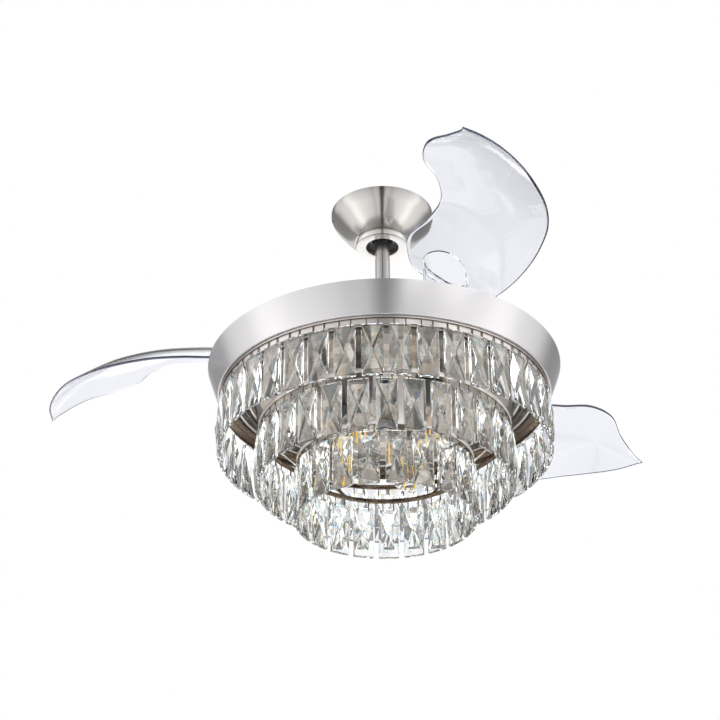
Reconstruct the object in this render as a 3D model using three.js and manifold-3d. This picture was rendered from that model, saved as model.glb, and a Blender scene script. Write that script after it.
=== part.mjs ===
// Ceiling fan with three retractable clear blades and a three-row crystal light.
// Units are millimetres. Z points up and the origin is the middle of the hanging bracket's top face,
// at the ceiling, so every other height is negative. The blades are modelled swung out.
import * as THREE from 'three';
import { mergeVertices } from 'three/addons/utils/BufferGeometryUtils.js';
import Module from 'manifold-3d';

const wasm = await Module();
wasm.setup();

// ---------------------------------------------------------------- fits
const seatGap = 0.3; // between faces that touch on the real fan
const boreGap = 0.3; // round a shaft or pin, on the radius
const turningGap = 2.5; // between a turning part and a fixed one
const cutOver = 1; // how far a cutting shape runs past what it cuts
const sunk = 1; // how far one shape runs into the next, where both are one piece

// ---------------------------------------------------------------- sides of round pieces
const wideSides = 48; // drum, pan, carrier and hanging rings
const middleSides = 24; // motor, canopy and ball
const smallSides = 12; // pins, screws and lamps
const canopySides = 32;

// ---------------------------------------------------------------- hanging bracket and canopy
const bracketSheet = 2.5;
const bracketHalfLength = 69.5;
const bracketHalfWidth = 18;
const bracketLegOuter = 36.5; // centre to the outside of a leg
const bracketLegHalfWidth = 12;
const bracketEarHalfWidth = 9;
const bracketEarDrop = 12.5;
const boxScrewOffset = 52; // ceiling box screw holes, each side of the middle
const boxScrewHoleRadius = 2.6;
const seatDrop = 44; // ceiling to the top of the ball seat
const seatPlateRadius = 34;
const seatMouthRadius = 18;
const canopyWall = 1.2;
const canopyProfile = [ // [radius, drop below the ceiling]
  [75.5, 0], [75.2, 6], [72, 14], [66.6, 22], [60.6, 30], [54, 38], [47, 45], [40.5, 50],
];
const canopyLipWidth = 7;
const canopyScrewDrop = 8;
const canopyScrewRadius = 2;
const canopyScrewHeadRadius = 4;
const canopyScrewHeadThickness = 1;
const canopyScrewLength = 10;
const coverRingOuterRadius = 38.6;
const coverRingHoleRadius = 24;
const coverRingHeight = 8;
const coverRingWall = 1.6;
const receiverHalfLength = 30;
const receiverHalfWidth = 20;
const receiverHeight = 14;

// ---------------------------------------------------------------- ball, downrod and coupling
const ballRadius = 22;
const ballTopCut = 9; // flat above the ball's middle
const ballBottomCut = 18; // flat below the ball's middle
const rodRadius = 10.65; // 1/2 inch pipe
const rodBoreRadius = 8;
const rodLength = 127; // 5 inches
const rodTopRise = 6; // top of the rod above the ball's middle
const crossPinRadius = 2.5;
const crossPinLength = 34;
const crossPinDrop = 4; // below the ball's middle
const couplingRadius = 16;
const couplingRodSocket = 22;
const couplingWeb = 4;
const couplingShaftSocket = 16;
const couplingFlangeRadius = 30;
const couplingFlangeThickness = 5;
const couplingPinDrop = 11; // below the coupling's top
const couplingPinOverhang = 3;
const setScrewRadius = 2.5;
const setScrewLength = 5;
const setScrewMargin = 2; // flange to the edge of a set screw

// ---------------------------------------------------------------- motor
const shaftRadius = 11;
const shaftCollarRadius = 14;
const motorTopGap = 16; // coupling to the rotor
const motorHeight = 87;
const motorRadius = 80;
const motorWall = 2.5;
const motorRimChamfer = 8;
const topShellHeight = 44;
const shellStep = 2; // slope between the magnet's seat and the wall above or below it
const shellTaper = 1;
const bearingRadius = 19;
const bearingHeight = 8;
const bearingHousingWall = 4;
const statorRadius = 66;
const statorHubRadius = 24;
const statorRimDepth = 12;
const statorRimHeight = 30;
const statorWebHeight = 8;
const windingHeight = 11;
const windingGap = 2;
const magnetThickness = 7;
const magnetHeight = 32;
const airGap = 1;
const shaftNutRadius = 18;
const shaftNutHeight = 8;
const shaftOverhang = 2; // shaft's end below its nut

// ---------------------------------------------------------------- blade carrier, blades and pivots
const drumTopRadius = 250;
const drumBottomRadius = 234.8;
const carrierGap = 14; // carrier's edge to the drum's rim
const carrierRadius = drumTopRadius - carrierGap;
const bladeCount = 3;
const firstBladeAzimuth = -80.4; // direction of the first blade's tip
const carrierSheet = 2.5;
const carrierBelowRim = 2.8;
const pivotOut = 195; // pivot, along the direction of the blade's tip
const pivotAcross = 50; // pivot, square to that direction
const pivotRadius = 8;
const pivotNeckRadius = 5;
const pivotHeadRadius = 13;
const pivotHeadThickness = 3;
const pivotNutRadius = 9;
const pivotNutThickness = 5;
const springWall = 4.5;
const bladeSheet = 3;
const bladeCamber = 0.14; // rise of the middle of the blade, per length of chord
const bladePocketRadius = 30;
const bladePocketWall = 3;
const bladePadRise = 7; // underside of the blade's pad above the drum's rim
const bladePadThickness = 3;
const bladeFold = 118; // degrees from spread to folded
const lugReach = 37; // from the pivot's axis
const lugHalfWidth = 5;
const lugHeight = 6;
const lugSunk = 2; // in the pocket's wall
const stopHalfWidth = 3;
const stopInner = 31;
const stopOuter = 36;
const stopRise = 12; // top of a stop above the drum's rim
const lugDirection = -90; // degrees, in the blade's own frame

// Edges of a blade from its root to its tip, measured from its pivot at the height of the drum's rim:
// along the tip's direction, across it, and up.
const bladeInnerEdge = [
  [-38, -6, 61], [-27, -36, 70], [7, -53, 72], [50, -59, 73], [91, -43, 72], [134, -34, 73],
  [175, -47, 76], [211, -72, 77], [254, -75, 72], [291, -58, 56], [329, -51, 35], [343, -52, 28],
];
const bladeOuterEdge = [
  [-38, -6, 61], [-34, 28, 34], [-12, 54, 13], [18, 65, 8], [59, 81, 8], [102, 91, 9],
  [145, 94, 9], [189, 91, 9], [230, 77, 12], [265, 53, 19], [298, 23, 23], [325, -11, 25], [343, -52, 28],
];

// ---------------------------------------------------------------- drum and light pan
const drumHeight = 44.7;
const drumWall = 1.5;
const drumLipWidth = 2.5;
const drumLipThickness = 1.2;
const panSheet = 2;
const panFlangeHeight = 14;
const panRibDepth = 2;
const panRibWidth = 8;
const panRibInsets = [42.8, 24.8]; // drum's lower edge to a rib

// ---------------------------------------------------------------- crystals
const crystalLength = 76;
const crystalWidth = 30;
const crystalEdge = 5; // thickness round the outside
const crystalMiddle = 14; // thickness where the facets meet
const crystalPinSpacing = 15.5;
const crystalPinThickness = 1.6;
const crystalPinLength = 9.5; // crystal to hanging ring
const crystalPinDepth = 4; // sunk in the crystal
const hoopThickness = 2.4;
const hoopHeight = 1.2;
const ringSheet = 1.6;
const ringHeight = 6.5;
const strutWidth = 8;
const strutSheet = 1.6;
const strutCount = 6;
const firstStrutAzimuth = 57;
const panStrutReach = 7; // second row to the tops of its struts
const legCount = 3;
const outerRowInset = 4.8; // drum's lower edge to the middles of the first row's crystals
const rowStep = 54; // between the radii of one row and the next
const outerRowFoot = 133; // drum's rim to the foot of the crystals
const middleRowFoot = 183;
const innerRowFoot = 232;
const outerRowRadius = drumBottomRadius - outerRowInset;
const rows = [ // first is the azimuth of a row's first crystal
  { radius: outerRowRadius, count: 40, first: -85.5, foot: outerRowFoot },
  { radius: outerRowRadius - rowStep, count: 30, first: -90, foot: middleRowFoot },
  { radius: outerRowRadius - 2 * rowStep, count: 21, first: 87.5, foot: innerRowFoot },
];

// ---------------------------------------------------------------- lamps and leads
const lampCount = 4;
const firstLampAzimuth = 60;
const lampCircleRadius = 72;
const socketRadius = 20;
const socketHeight = 38;
const socketWall = 6.4;
const socketRoof = 10;
const lampCapRadius = 13.2;
const lampCapHeight = 25;
const lampNeckRadius = 14;
const lampRadius = 29;
const lampLength = 104;
const lampShoulder = 4; // slope of the glass below the screw cap
const lampLatitudes = [-65, -35, 0, 30, 50]; // degrees, of the rings that shape the globe
const leadRadius = 2.2;
const leadOffset = 5; // from the rod's axis, clear of the pins
const leadOverhang = 2; // above the ball

// ---------------------------------------------------------------- heights that follow from the sizes
const ballMiddle = -seatDrop + Math.sqrt((ballRadius + seatGap) ** 2 - seatMouthRadius ** 2);
const canopyHeight = canopyProfile.at(-1)[1];
const rodTop = ballMiddle + rodTopRise;
const rodFoot = rodTop - rodLength;
const couplingTop = rodFoot - seatGap + couplingRodSocket;
const shaftTop = rodFoot - seatGap - couplingWeb - seatGap;
const couplingFoot = shaftTop + seatGap - couplingShaftSocket;
const motorTop = couplingFoot - motorTopGap;
const motorFoot = motorTop - motorHeight;
const carrierTop = motorFoot - seatGap;
const rim = carrierTop + carrierBelowRim;
const panUnderside = rim - rows[0].foot + crystalLength + crystalPinLength + 2 * seatGap + ringHeight;
const panTop = panUnderside + panSheet;
const statorMiddle = (motorTop + motorFoot) / 2;

// ---------------------------------------------------------------- finishes
const finish = (color, roughness, metalness, opacity = 1) => new THREE.MeshStandardMaterial({
  color, roughness, metalness, opacity, transparent: opacity < 1,
});
const satinNickel = finish(0xd2ceca, 0.35, 1);
const polishedNickel = finish(0xb9afa2, 0.12, 1);
const zincSteel = finish(0x8d9094, 0.45, 1);
const blackSteel = finish(0x26272b, 0.5, 0.8);
const blackRubber = finish(0x16171a, 0.75, 0);
const copper = finish(0xb4693a, 0.4, 1);
const magnetFinish = finish(0x45464a, 0.6, 0.6);
const clearBlade = finish(0xe9effa, 0.05, 0, 0.35);
const crystalGlass = finish(0xf2f4f6, 0.02, 0, 0.5);
const lampGlass = finish(0xf6ead2, 0.03, 0, 0.6);
const porcelain = finish(0xe8e6e0, 0.4, 0);
const boxPlastic = finish(0x3a3b3d, 0.6, 0);
const leadPlastic = finish(0x222326, 0.6, 0);

// ---------------------------------------------------------------- helpers
const radians = (degrees) => degrees * Math.PI / 180;
const evenly = (count, first) => Array.from({ length: count }, (_, i) => first + i * 360 / count);

/** One closed body from a three.js geometry: shared vertices merged, no flat triangles, faces outward. */
function toSolid(geometry) {
  const bare = geometry.clone();
  bare.deleteAttribute('normal');
  bare.deleteAttribute('uv');
  const merged = mergeVertices(bare, 1e-4);
  const place = merged.attributes.position.array;
  const corner = (i) => new THREE.Vector3().fromArray(place, 3 * i);
  let triangles = [];
  let volume = 0;
  for (let i = 0; i < merged.index.count; i += 3) {
    const [a, b, c] = [0, 1, 2].map((k) => merged.index.getX(i + k));
    if (a === b || b === c || c === a) continue;
    triangles.push([a, b, c]);
    volume += corner(a).dot(corner(b).cross(corner(c)));
  }
  if (volume < 0) triangles = triangles.map(([a, b, c]) => [a, c, b]);
  return new wasm.Manifold(new wasm.Mesh({
    numProp: 3, vertProperties: new Float32Array(place), triVerts: new Uint32Array(triangles.flat()),
  }));
}

function toGeometry(solid) {
  const mesh = solid.getMesh();
  const geometry = new THREE.BufferGeometry();
  geometry.setAttribute('position', new THREE.BufferAttribute(new Float32Array(mesh.vertProperties), 3));
  geometry.setIndex(new THREE.BufferAttribute(new Uint32Array(mesh.triVerts), 1));
  const flat = geometry.toNonIndexed();
  flat.computeVertexNormals();
  return flat;
}

const joined = (solids) => solids.reduce((whole, piece) => whole.add(piece));

/** A body of revolution about Z from [radius, height] points. A closed profile makes a ring. */
function turned(profile, segments) {
  const points = profile.map(([r, z]) => new THREE.Vector2(r, z));
  if (profile[0][0] > 0) points.push(points[0].clone());
  return toSolid(new THREE.LatheGeometry(points, segments).rotateX(Math.PI / 2));
}

/** A plain ring or disc with square edges. */
function ring(inner, outer, low, high, segments) {
  return turned([[inner, low], [outer, low], [outer, high], [inner, high]], segments);
}

function disc(radius, low, high, segments) {
  return turned([[0, low], [radius, low], [radius, high], [0, high]], segments);
}

function box(x0, x1, y0, y1, z0, z1) {
  const shape = new THREE.BoxGeometry(x1 - x0, y1 - y0, z1 - z0);
  return toSolid(shape.translate((x0 + x1) / 2, (y0 + y1) / 2, (z0 + z1) / 2));
}

/** A round bar along a direction, from one point to another. */
function bar(from, to, radius, segments) {
  const [a, b] = [new THREE.Vector3(...from), new THREE.Vector3(...to)];
  const along = b.clone().sub(a);
  const shape = new THREE.CylinderGeometry(radius, radius, along.length(), segments);
  const upright = new THREE.Vector3(0, 1, 0);
  shape.applyQuaternion(new THREE.Quaternion().setFromUnitVectors(upright, along.normalize()));
  return toSolid(shape.translate((a.x + b.x) / 2, (a.y + b.y) / 2, (a.z + b.z) / 2));
}

const fan = new THREE.Group();

function addMesh(group, name, solid, material) {
  const mesh = new THREE.Mesh(toGeometry(solid), material);
  mesh.name = name;
  group.add(mesh);
  return mesh;
}

// ---------------------------------------------------------------- hanging bracket and canopy
/** Flat top plate, two legs, an ear at each end, and a dished seat that the ball rests in. */
function hangingBracket() {
  const halves = [1, -1].map((side) => {
    const leg = [side * (bracketLegOuter - bracketSheet), side * bracketLegOuter].sort((a, b) => a - b);
    const ear = [side * (bracketHalfLength - bracketSheet), side * bracketHalfLength].sort((a, b) => a - b);
    return box(...leg, -bracketLegHalfWidth, bracketLegHalfWidth, -seatDrop - bracketSheet, 0)
      .add(box(...ear, -bracketEarHalfWidth, bracketEarHalfWidth, -bracketEarDrop, 0));
  });
  const legSpan = bracketLegOuter - bracketSheet / 2;
  const solid = joined([
    box(-bracketHalfLength, bracketHalfLength, -bracketHalfWidth, bracketHalfWidth, -bracketSheet, 0),
    box(-legSpan, legSpan, -bracketLegHalfWidth, bracketLegHalfWidth, -seatDrop - bracketSheet, -seatDrop),
    disc(seatPlateRadius, -seatDrop - bracketSheet, -seatDrop, middleSides),
    ...halves,
  ]);
  const cuts = [ballShape(seatGap)];
  for (const side of [1, -1]) {
    const x = side * boxScrewOffset;
    cuts.push(bar([x, 0, -bracketSheet - cutOver], [x, 0, cutOver], boxScrewHoleRadius, smallSides));
  }
  const screwLine = [[-canopyProfile[0][0], 0, -canopyScrewDrop], [canopyProfile[0][0], 0, -canopyScrewDrop]];
  cuts.push(bar(...screwLine, canopyScrewRadius + boreGap, smallSides));
  return solid.subtract(joined(cuts));
}

/** Thin bowl with a flat lip turned in at its foot. */
function canopy() {
  const outer = canopyProfile.map(([r, drop]) => [r, -drop]);
  const inner = canopyProfile.slice(0, -1).map(([r, drop]) => [r - canopyWall, -drop]).reverse();
  const [footRadius, footDrop] = canopyProfile.at(-1);
  const lip = footRadius - canopyLipWidth;
  const turnIn = [[lip, -footDrop], [lip, -footDrop + canopyWall], [footRadius, -footDrop + canopyWall]];
  const bowl = turned([...outer, ...turnIn, ...inner], canopySides);
  const reach = canopyProfile[0][0] + cutOver;
  const ends = [[-reach, 0, -canopyScrewDrop], [reach, 0, -canopyScrewDrop]];
  return bowl.subtract(bar(...ends, canopyScrewRadius + boreGap, smallSides));
}

function coverRing() {
  const top = -canopyHeight - seatGap;
  const foot = top - coverRingHeight;
  return turned([
    [coverRingHoleRadius, foot], [coverRingOuterRadius, foot], [coverRingOuterRadius, top],
    [coverRingOuterRadius - coverRingWall, top], [coverRingOuterRadius - coverRingWall, foot + coverRingWall],
    [coverRingHoleRadius, foot + coverRingWall],
  ], canopySides);
}

function canopyScrew(side) {
  const seat = canopyProfile[0][0] + seatGap;
  const z = -canopyScrewDrop;
  const at = (x) => [side * x, 0, z];
  const head = bar(at(seat), at(seat + canopyScrewHeadThickness), canopyScrewHeadRadius, smallSides);
  return head.add(bar(at(seat - canopyScrewLength), at(seat), canopyScrewRadius, smallSides));
}

function receiver() {
  const top = -bracketSheet - seatGap;
  const [length, width] = [receiverHalfLength, receiverHalfWidth];
  return box(-length, length, -width, width, top - receiverHeight, top);
}

// ---------------------------------------------------------------- ball, downrod and coupling
function ballShape(gap) {
  const shape = new THREE.SphereGeometry(ballRadius + gap, middleSides, smallSides).rotateX(Math.PI / 2);
  return toSolid(shape.translate(0, 0, ballMiddle));
}

function hangerBall() {
  const cutter = ballRadius + cutOver;
  const band = box(-cutter, cutter, -cutter, cutter, ballMiddle - ballBottomCut, ballMiddle + ballTopCut);
  const ball = ballShape(0).intersect(band);
  const rodHole = disc(rodRadius + boreGap, ballMiddle - cutter, ballMiddle + cutter, middleSides);
  return ball.subtract(rodHole.add(crossPinShape(boreGap)));
}

function crossPinShape(gap) {
  const [z, half] = [ballMiddle - crossPinDrop, crossPinLength / 2 + gap];
  return bar([0, -half, z], [0, half, z], crossPinRadius + gap, smallSides);
}

/** Pin through the coupling and the downrod's foot, a little proud of the coupling at both ends. */
function couplingPinShape(gap) {
  const [z, half] = [couplingTop - couplingPinDrop, couplingRadius + couplingPinOverhang + gap];
  return bar([0, -half, z], [0, half, z], crossPinRadius + gap, smallSides);
}

function downrod() {
  const pipe = ring(rodBoreRadius, rodRadius, rodFoot, rodTop, middleSides);
  return pipe.subtract(crossPinShape(boreGap).add(couplingPinShape(boreGap)));
}

/** Sleeve with a socket for the rod above, a socket for the motor shaft below and a web between them. */
function motorCoupling() {
  const webTop = rodFoot - seatGap;
  const flangeTop = couplingFoot + couplingFlangeThickness;
  const body = turned([
    [rodBoreRadius, webTop - couplingWeb], [shaftRadius + boreGap, webTop - couplingWeb],
    [shaftRadius + boreGap, couplingFoot], [couplingFlangeRadius, couplingFoot],
    [couplingFlangeRadius, flangeTop], [couplingRadius, flangeTop], [couplingRadius, couplingTop],
    [rodRadius + boreGap, couplingTop], [rodRadius + boreGap, webTop], [rodBoreRadius, webTop],
  ], middleSides);
  return body.subtract(couplingCuts());
}

function couplingCuts() {
  const [inner, outer] = [shaftRadius / 2, couplingRadius + cutOver];
  const holes = [1, -1].map((side) => setScrewLine(side, inner, outer, setScrewRadius + boreGap));
  return joined([couplingPinShape(boreGap), ...holes]);
}

/** Line of a set screw, or of its hole, in the coupling's side, square to the pin. */
function setScrewLine(side, inner, outer, radius) {
  const z = couplingFoot + couplingFlangeThickness + setScrewMargin + setScrewRadius;
  return bar([side * inner, 0, z], [side * outer, 0, z], radius, smallSides);
}

function setScrew(side) {
  const tip = shaftRadius + 2 * seatGap;
  return setScrewLine(side, tip, tip + setScrewLength, setScrewRadius);
}

// ---------------------------------------------------------------- motor
const upperBearingTop = motorTop - motorWall - seatGap;
const lowerBearingTop = motorFoot + motorWall + seatGap + bearingHeight;
const bottomShellTop = motorTop - topShellHeight - seatGap;
const shaftFoot = panUnderside - seatGap - shaftNutHeight - shaftOverhang;

/** Hollow fixed shaft with a collar that carries the lower bearing and clamps the light pan. */
function motorShaft() {
  const collarTop = lowerBearingTop - bearingHeight - seatGap;
  const collarFoot = panTop + seatGap;
  return turned([
    [rodBoreRadius, shaftFoot], [shaftRadius, shaftFoot], [shaftRadius, collarFoot],
    [shaftCollarRadius, collarFoot], [shaftCollarRadius, collarTop], [shaftRadius, collarTop],
    [shaftRadius, shaftTop], [rodBoreRadius, shaftTop],
  ], middleSides);
}

const bearing = (top) => ring(shaftRadius + boreGap, bearingRadius, top - bearingHeight, top, middleSides);

/** Hub, thin web and outer rim of the laminated core. */
function statorCore() {
  const [hub, rimIn] = [statorHubRadius, statorRadius - statorRimDepth];
  const [web, half] = [statorWebHeight / 2, statorRimHeight / 2];
  return turned([
    [shaftRadius + boreGap, -half], [hub, -half], [hub, -web], [rimIn, -web], [rimIn, -half],
    [statorRadius, -half], [statorRadius, half], [rimIn, half], [rimIn, web], [hub, web], [hub, half],
    [shaftRadius + boreGap, half],
  ].map(([r, z]) => [r, z + statorMiddle]), middleSides);
}

function winding(side) {
  const near = statorMiddle + side * (statorWebHeight / 2 + seatGap);
  const far = near + side * windingHeight;
  const [inner, outer] = [statorHubRadius + windingGap, statorRadius - statorRimDepth - windingGap];
  return ring(inner, outer, Math.min(near, far), Math.max(near, far), middleSides);
}

function magnetRing() {
  const inner = statorRadius + airGap;
  const [foot, top] = [statorMiddle - magnetHeight / 2, statorMiddle + magnetHeight / 2];
  return ring(inner, inner + magnetThickness, foot, top, middleSides);
}

/** One half of the rotor's case: side wall, end plate with a chamfered rim, and the bearing's housing. */
function rotorShell(end, wallEnd, bearingTop) {
  const side = Math.sign(end - wallEnd);
  const [inside, housing] = [motorRadius - motorWall, bearingRadius + boreGap];
  const housingEnd = side > 0 ? bearingTop - bearingHeight : bearingTop;
  const chamfer = side * motorRimChamfer;
  const shelf = magnetThickness + airGap + statorRadius + seatGap;
  const wallInside = inside - shellTaper;
  const endInside = end - side * motorWall;
  const shoulder = statorMiddle + side * magnetHeight / 2;
  return turned([
    [shaftCollarRadius + turningGap, end], [motorRadius - motorRimChamfer, end], [motorRadius, end - chamfer],
    [motorRadius, wallEnd], [shelf, wallEnd], [shelf, shoulder], [wallInside, shoulder + side * shellStep],
    [wallInside, end - chamfer - side * shellTaper], [inside - motorRimChamfer, endInside],
    [housing + bearingHousingWall, endInside], [housing + bearingHousingWall, housingEnd],
    [housing, housingEnd], [housing, endInside], [shaftCollarRadius + turningGap, endInside],
  ], middleSides);
}

function shaftNut() {
  const top = panUnderside - seatGap;
  const foot = top - shaftNutHeight;
  const hexagon = disc(shaftNutRadius, foot, top, 6);
  return hexagon.subtract(disc(shaftRadius + boreGap, foot - cutOver, top + cutOver, middleSides));
}

/** Supply leads from the receiver down the rod and the hollow shaft. */
function supplyLeads() {
  const top = ballMiddle + ballTopCut + leadOverhang;
  return bar([leadOffset, 0, shaftFoot], [leadOffset, 0, top], leadRadius, smallSides);
}

// ---------------------------------------------------------------- carrier, pivots and blades
const pivotTurn = Math.atan2(pivotAcross, pivotOut) * 180 / Math.PI;
const pivotAzimuths = evenly(bladeCount, firstBladeAzimuth + pivotTurn);
const pivotCircle = Math.hypot(pivotOut, pivotAcross);

/** A group at a blade's pivot, at the height of the drum's rim, with X along the blade's tip direction. */
function pivotGroup(index) {
  const group = new THREE.Group();
  const azimuth = radians(pivotAzimuths[index]);
  group.position.set(pivotCircle * Math.cos(azimuth), pivotCircle * Math.sin(azimuth), rim);
  group.rotation.z = radians(firstBladeAzimuth + index * 360 / bladeCount);
  fan.add(group);
  return group;
}

/** Turns of a stop round the pivot from the middle of the lug to where they touch. */
function stopTurn() {
  const reach = lugHalfWidth + seatGap;
  return Math.asin(reach / Math.hypot(stopInner, stopHalfWidth)) + Math.atan2(stopHalfWidth, stopInner);
}

/** Flat disc with three pivot holes and, round each, a stop for the spread and for the folded blade. */
function bladeCarrier() {
  const foot = carrierTop - carrierSheet;
  let plate = ring(shaftCollarRadius + turningGap, carrierRadius, foot, carrierTop, wideSides);
  const turn = stopTurn() * 180 / Math.PI;
  pivotAzimuths.forEach((azimuth, i) => {
    const x = pivotCircle * Math.cos(radians(azimuth));
    const y = pivotCircle * Math.sin(radians(azimuth));
    const heading = firstBladeAzimuth + i * 360 / bladeCount + lugDirection;
    for (const direction of [heading + turn, heading - bladeFold - turn]) {
      const [low, high] = [carrierTop - sunk, rim + stopRise];
      const stop = box(stopInner, stopOuter, -stopHalfWidth, stopHalfWidth, low, high);
      plate = plate.add(stop.rotate([0, 0, direction]).translate([x, y, 0]));
    }
    const hole = disc(pivotNeckRadius + boreGap, foot - cutOver, carrierTop + cutOver, smallSides);
    plate = plate.subtract(hole.translate([x, y, 0]));
  });
  return plate;
}

/** Shouldered pin: nut under the carrier, neck through it, body through the blade's pad, head above. */
function bladePivot() {
  const shoulder = -carrierBelowRim + seatGap;
  const underside = -carrierBelowRim - carrierSheet - seatGap;
  const headFoot = bladePadRise + bladePadThickness + seatGap;
  const headTop = headFoot + pivotHeadThickness;
  return turned([
    [0, underside - pivotNutThickness], [pivotNutRadius, underside - pivotNutThickness],
    [pivotNutRadius, underside], [pivotNeckRadius, underside], [pivotNeckRadius, shoulder],
    [pivotRadius, shoulder], [pivotRadius, headFoot], [pivotHeadRadius, headFoot], [pivotHeadRadius, headTop],
    [0, headTop],
  ], smallSides);
}

/** The return spring's coil, round the pivot between the carrier and the blade's pad. */
function bladeSpring() {
  const inner = pivotRadius + boreGap;
  return ring(inner, inner + springWall, -carrierBelowRim + seatGap, bladePadRise - seatGap, smallSides);
}

/** Point of the blade's middle surface: t from root to tip, u from the inner to the outer edge. */
function bladeSurface() {
  const [inner, outer] = [bladeInnerEdge, bladeOuterEdge].map((points) => (
    new THREE.CatmullRomCurve3(points.map((p) => new THREE.Vector3(...p)), false, 'centripetal')));
  return (t, u) => {
    const [a, b] = [inner.getPointAt(t), outer.getPointAt(t)];
    const point = a.clone().lerp(b, u);
    point.z += bladeCamber * a.distanceTo(b) * Math.sin(Math.PI * u);
    return point;
  };
}

/** Closed body between two grids of points that share their first row's and last row's place. */
function slab(top, bottom, rowCount, columnCount) {
  const positions = [];
  const index = [];
  const [up, down] = [top, bottom].map((grid) => (
    grid.map((line) => line.map((p) => positions.push(...p.toArray()) / 3 - 1))));
  const quad = (a, b, c, d) => index.push(a, b, c, a, c, d);
  for (let i = 0; i < rowCount; i += 1) {
    for (let j = 0; j < columnCount; j += 1) {
      quad(up[i][j], up[i + 1][j], up[i + 1][j + 1], up[i][j + 1]);
      quad(down[i][j], down[i][j + 1], down[i + 1][j + 1], down[i + 1][j]);
    }
    quad(up[i][0], down[i][0], down[i + 1][0], up[i + 1][0]);
    quad(up[i][columnCount], up[i + 1][columnCount], down[i + 1][columnCount], down[i][columnCount]);
  }
  const geometry = new THREE.BufferGeometry();
  geometry.setAttribute('position', new THREE.BufferAttribute(new Float32Array(positions), 3));
  geometry.setIndex(index);
  return toSolid(geometry);
}

/** Cambered clear sheet with a round pocket moulded down to a flat pad that turns on the pivot. */
function blade() {
  const [rowCount, columnCount] = [24, 4];
  const surface = bladeSurface();
  const rowsOf = (make) => Array.from({ length: rowCount + 1 }, (_, i) => (
    Array.from({ length: columnCount + 1 }, (__, j) => make(i / rowCount, j / columnCount))));
  const up = (height) => (t, u) => surface(t, u).add(new THREE.Vector3(0, 0, height));
  const floor = (t, u) => surface(t, u).setZ(bladePadRise - cutOver);
  const sheet = slab(rowsOf(up(bladeSheet / 2)), rowsOf(up(-bladeSheet / 2)), rowCount, columnCount);
  const underSheet = slab(rowsOf(up(bladeSheet / 2)), rowsOf(floor), rowCount, columnCount);
  const tall = Math.max(...bladeInnerEdge.map((point) => point[2])) * 2; // above all of the blade
  const pocket = disc(bladePocketRadius, bladePadRise, tall, middleSides).intersect(underSheet);
  const padTop = bladePadRise + bladePadThickness;
  const hollow = disc(bladePocketRadius - bladePocketWall, padTop, tall, middleSides);
  const [lugStart, lugTop] = [bladePocketRadius - lugSunk, bladePadRise + lugHeight];
  const lug = box(lugStart, lugReach, -lugHalfWidth, lugHalfWidth, bladePadRise, lugTop)
    .rotate([0, 0, lugDirection]);
  const bore = disc(pivotRadius + boreGap, 0, tall, smallSides);
  return joined([sheet, pocket, lug.subtract(hollow)]).subtract(hollow.add(bore));
}

// ---------------------------------------------------------------- drum and light pan
/** The band's outer radius at a height. */
const drumRadiusAt = (z) => drumTopRadius + (drumBottomRadius - drumTopRadius) * (rim - z) / drumHeight;

function drumBand() {
  const foot = rim - drumHeight;
  const lip = drumBottomRadius - drumLipWidth;
  const lipTop = foot + drumLipThickness;
  return turned([
    [lip, foot], [drumBottomRadius, foot], [drumTopRadius, rim], [drumTopRadius - drumWall, rim],
    [drumRadiusAt(lipTop) - drumWall, lipTop], [lip, lipTop],
  ], wideSides);
}

/** Flat pan with concentric ribs underneath and an upturned flange that the band is fixed to. */
function lightPan() {
  const ribs = panRibInsets.map((inset) => drumBottomRadius - inset).flatMap((r) => [
    [r, panUnderside], [r + panRibDepth, panUnderside - panRibDepth],
    [r + panRibWidth - panRibDepth, panUnderside - panRibDepth], [r + panRibWidth, panUnderside],
  ]);
  const flangeTop = panUnderside + panFlangeHeight;
  const edge = (z) => drumRadiusAt(z) - drumWall - seatGap;
  return turned([
    [shaftRadius + boreGap, panUnderside], ...ribs, [edge(panUnderside), panUnderside],
    [edge(flangeTop), flangeTop], [edge(flangeTop) - panSheet, flangeTop], [edge(panTop) - panSheet, panTop],
    [shaftRadius + boreGap, panTop],
  ], wideSides);
}

// ---------------------------------------------------------------- crystals and their rings
/** One bar: a rectangle whose front and back each rise in four facets to a point. Top edge at height 0. */
function crystalBar() {
  const [w, e, m] = [crystalWidth / 2, crystalEdge / 2, crystalMiddle / 2];
  const corners = [[w, -crystalLength], [w, 0], [-w, 0], [-w, -crystalLength]];
  const positions = [
    ...corners.flatMap(([x, z]) => [x, -e, z]), ...corners.flatMap(([x, z]) => [x, e, z]),
    0, -m, -crystalLength / 2, 0, m, -crystalLength / 2,
  ];
  const index = [];
  for (let i = 0; i < 4; i += 1) {
    const next = (i + 1) % 4;
    index.push(i, next, 8, 4 + next, 4 + i, 9);
    index.push(i, 4 + i, 4 + next, i, 4 + next, next);
  }
  const geometry = new THREE.BufferGeometry();
  geometry.setAttribute('position', new THREE.BufferAttribute(new Float32Array(positions), 3));
  geometry.setIndex(index);
  return toSolid(geometry);
}

const barAzimuth = 90; // degrees, where a bar stands before it is turned to its place

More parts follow.
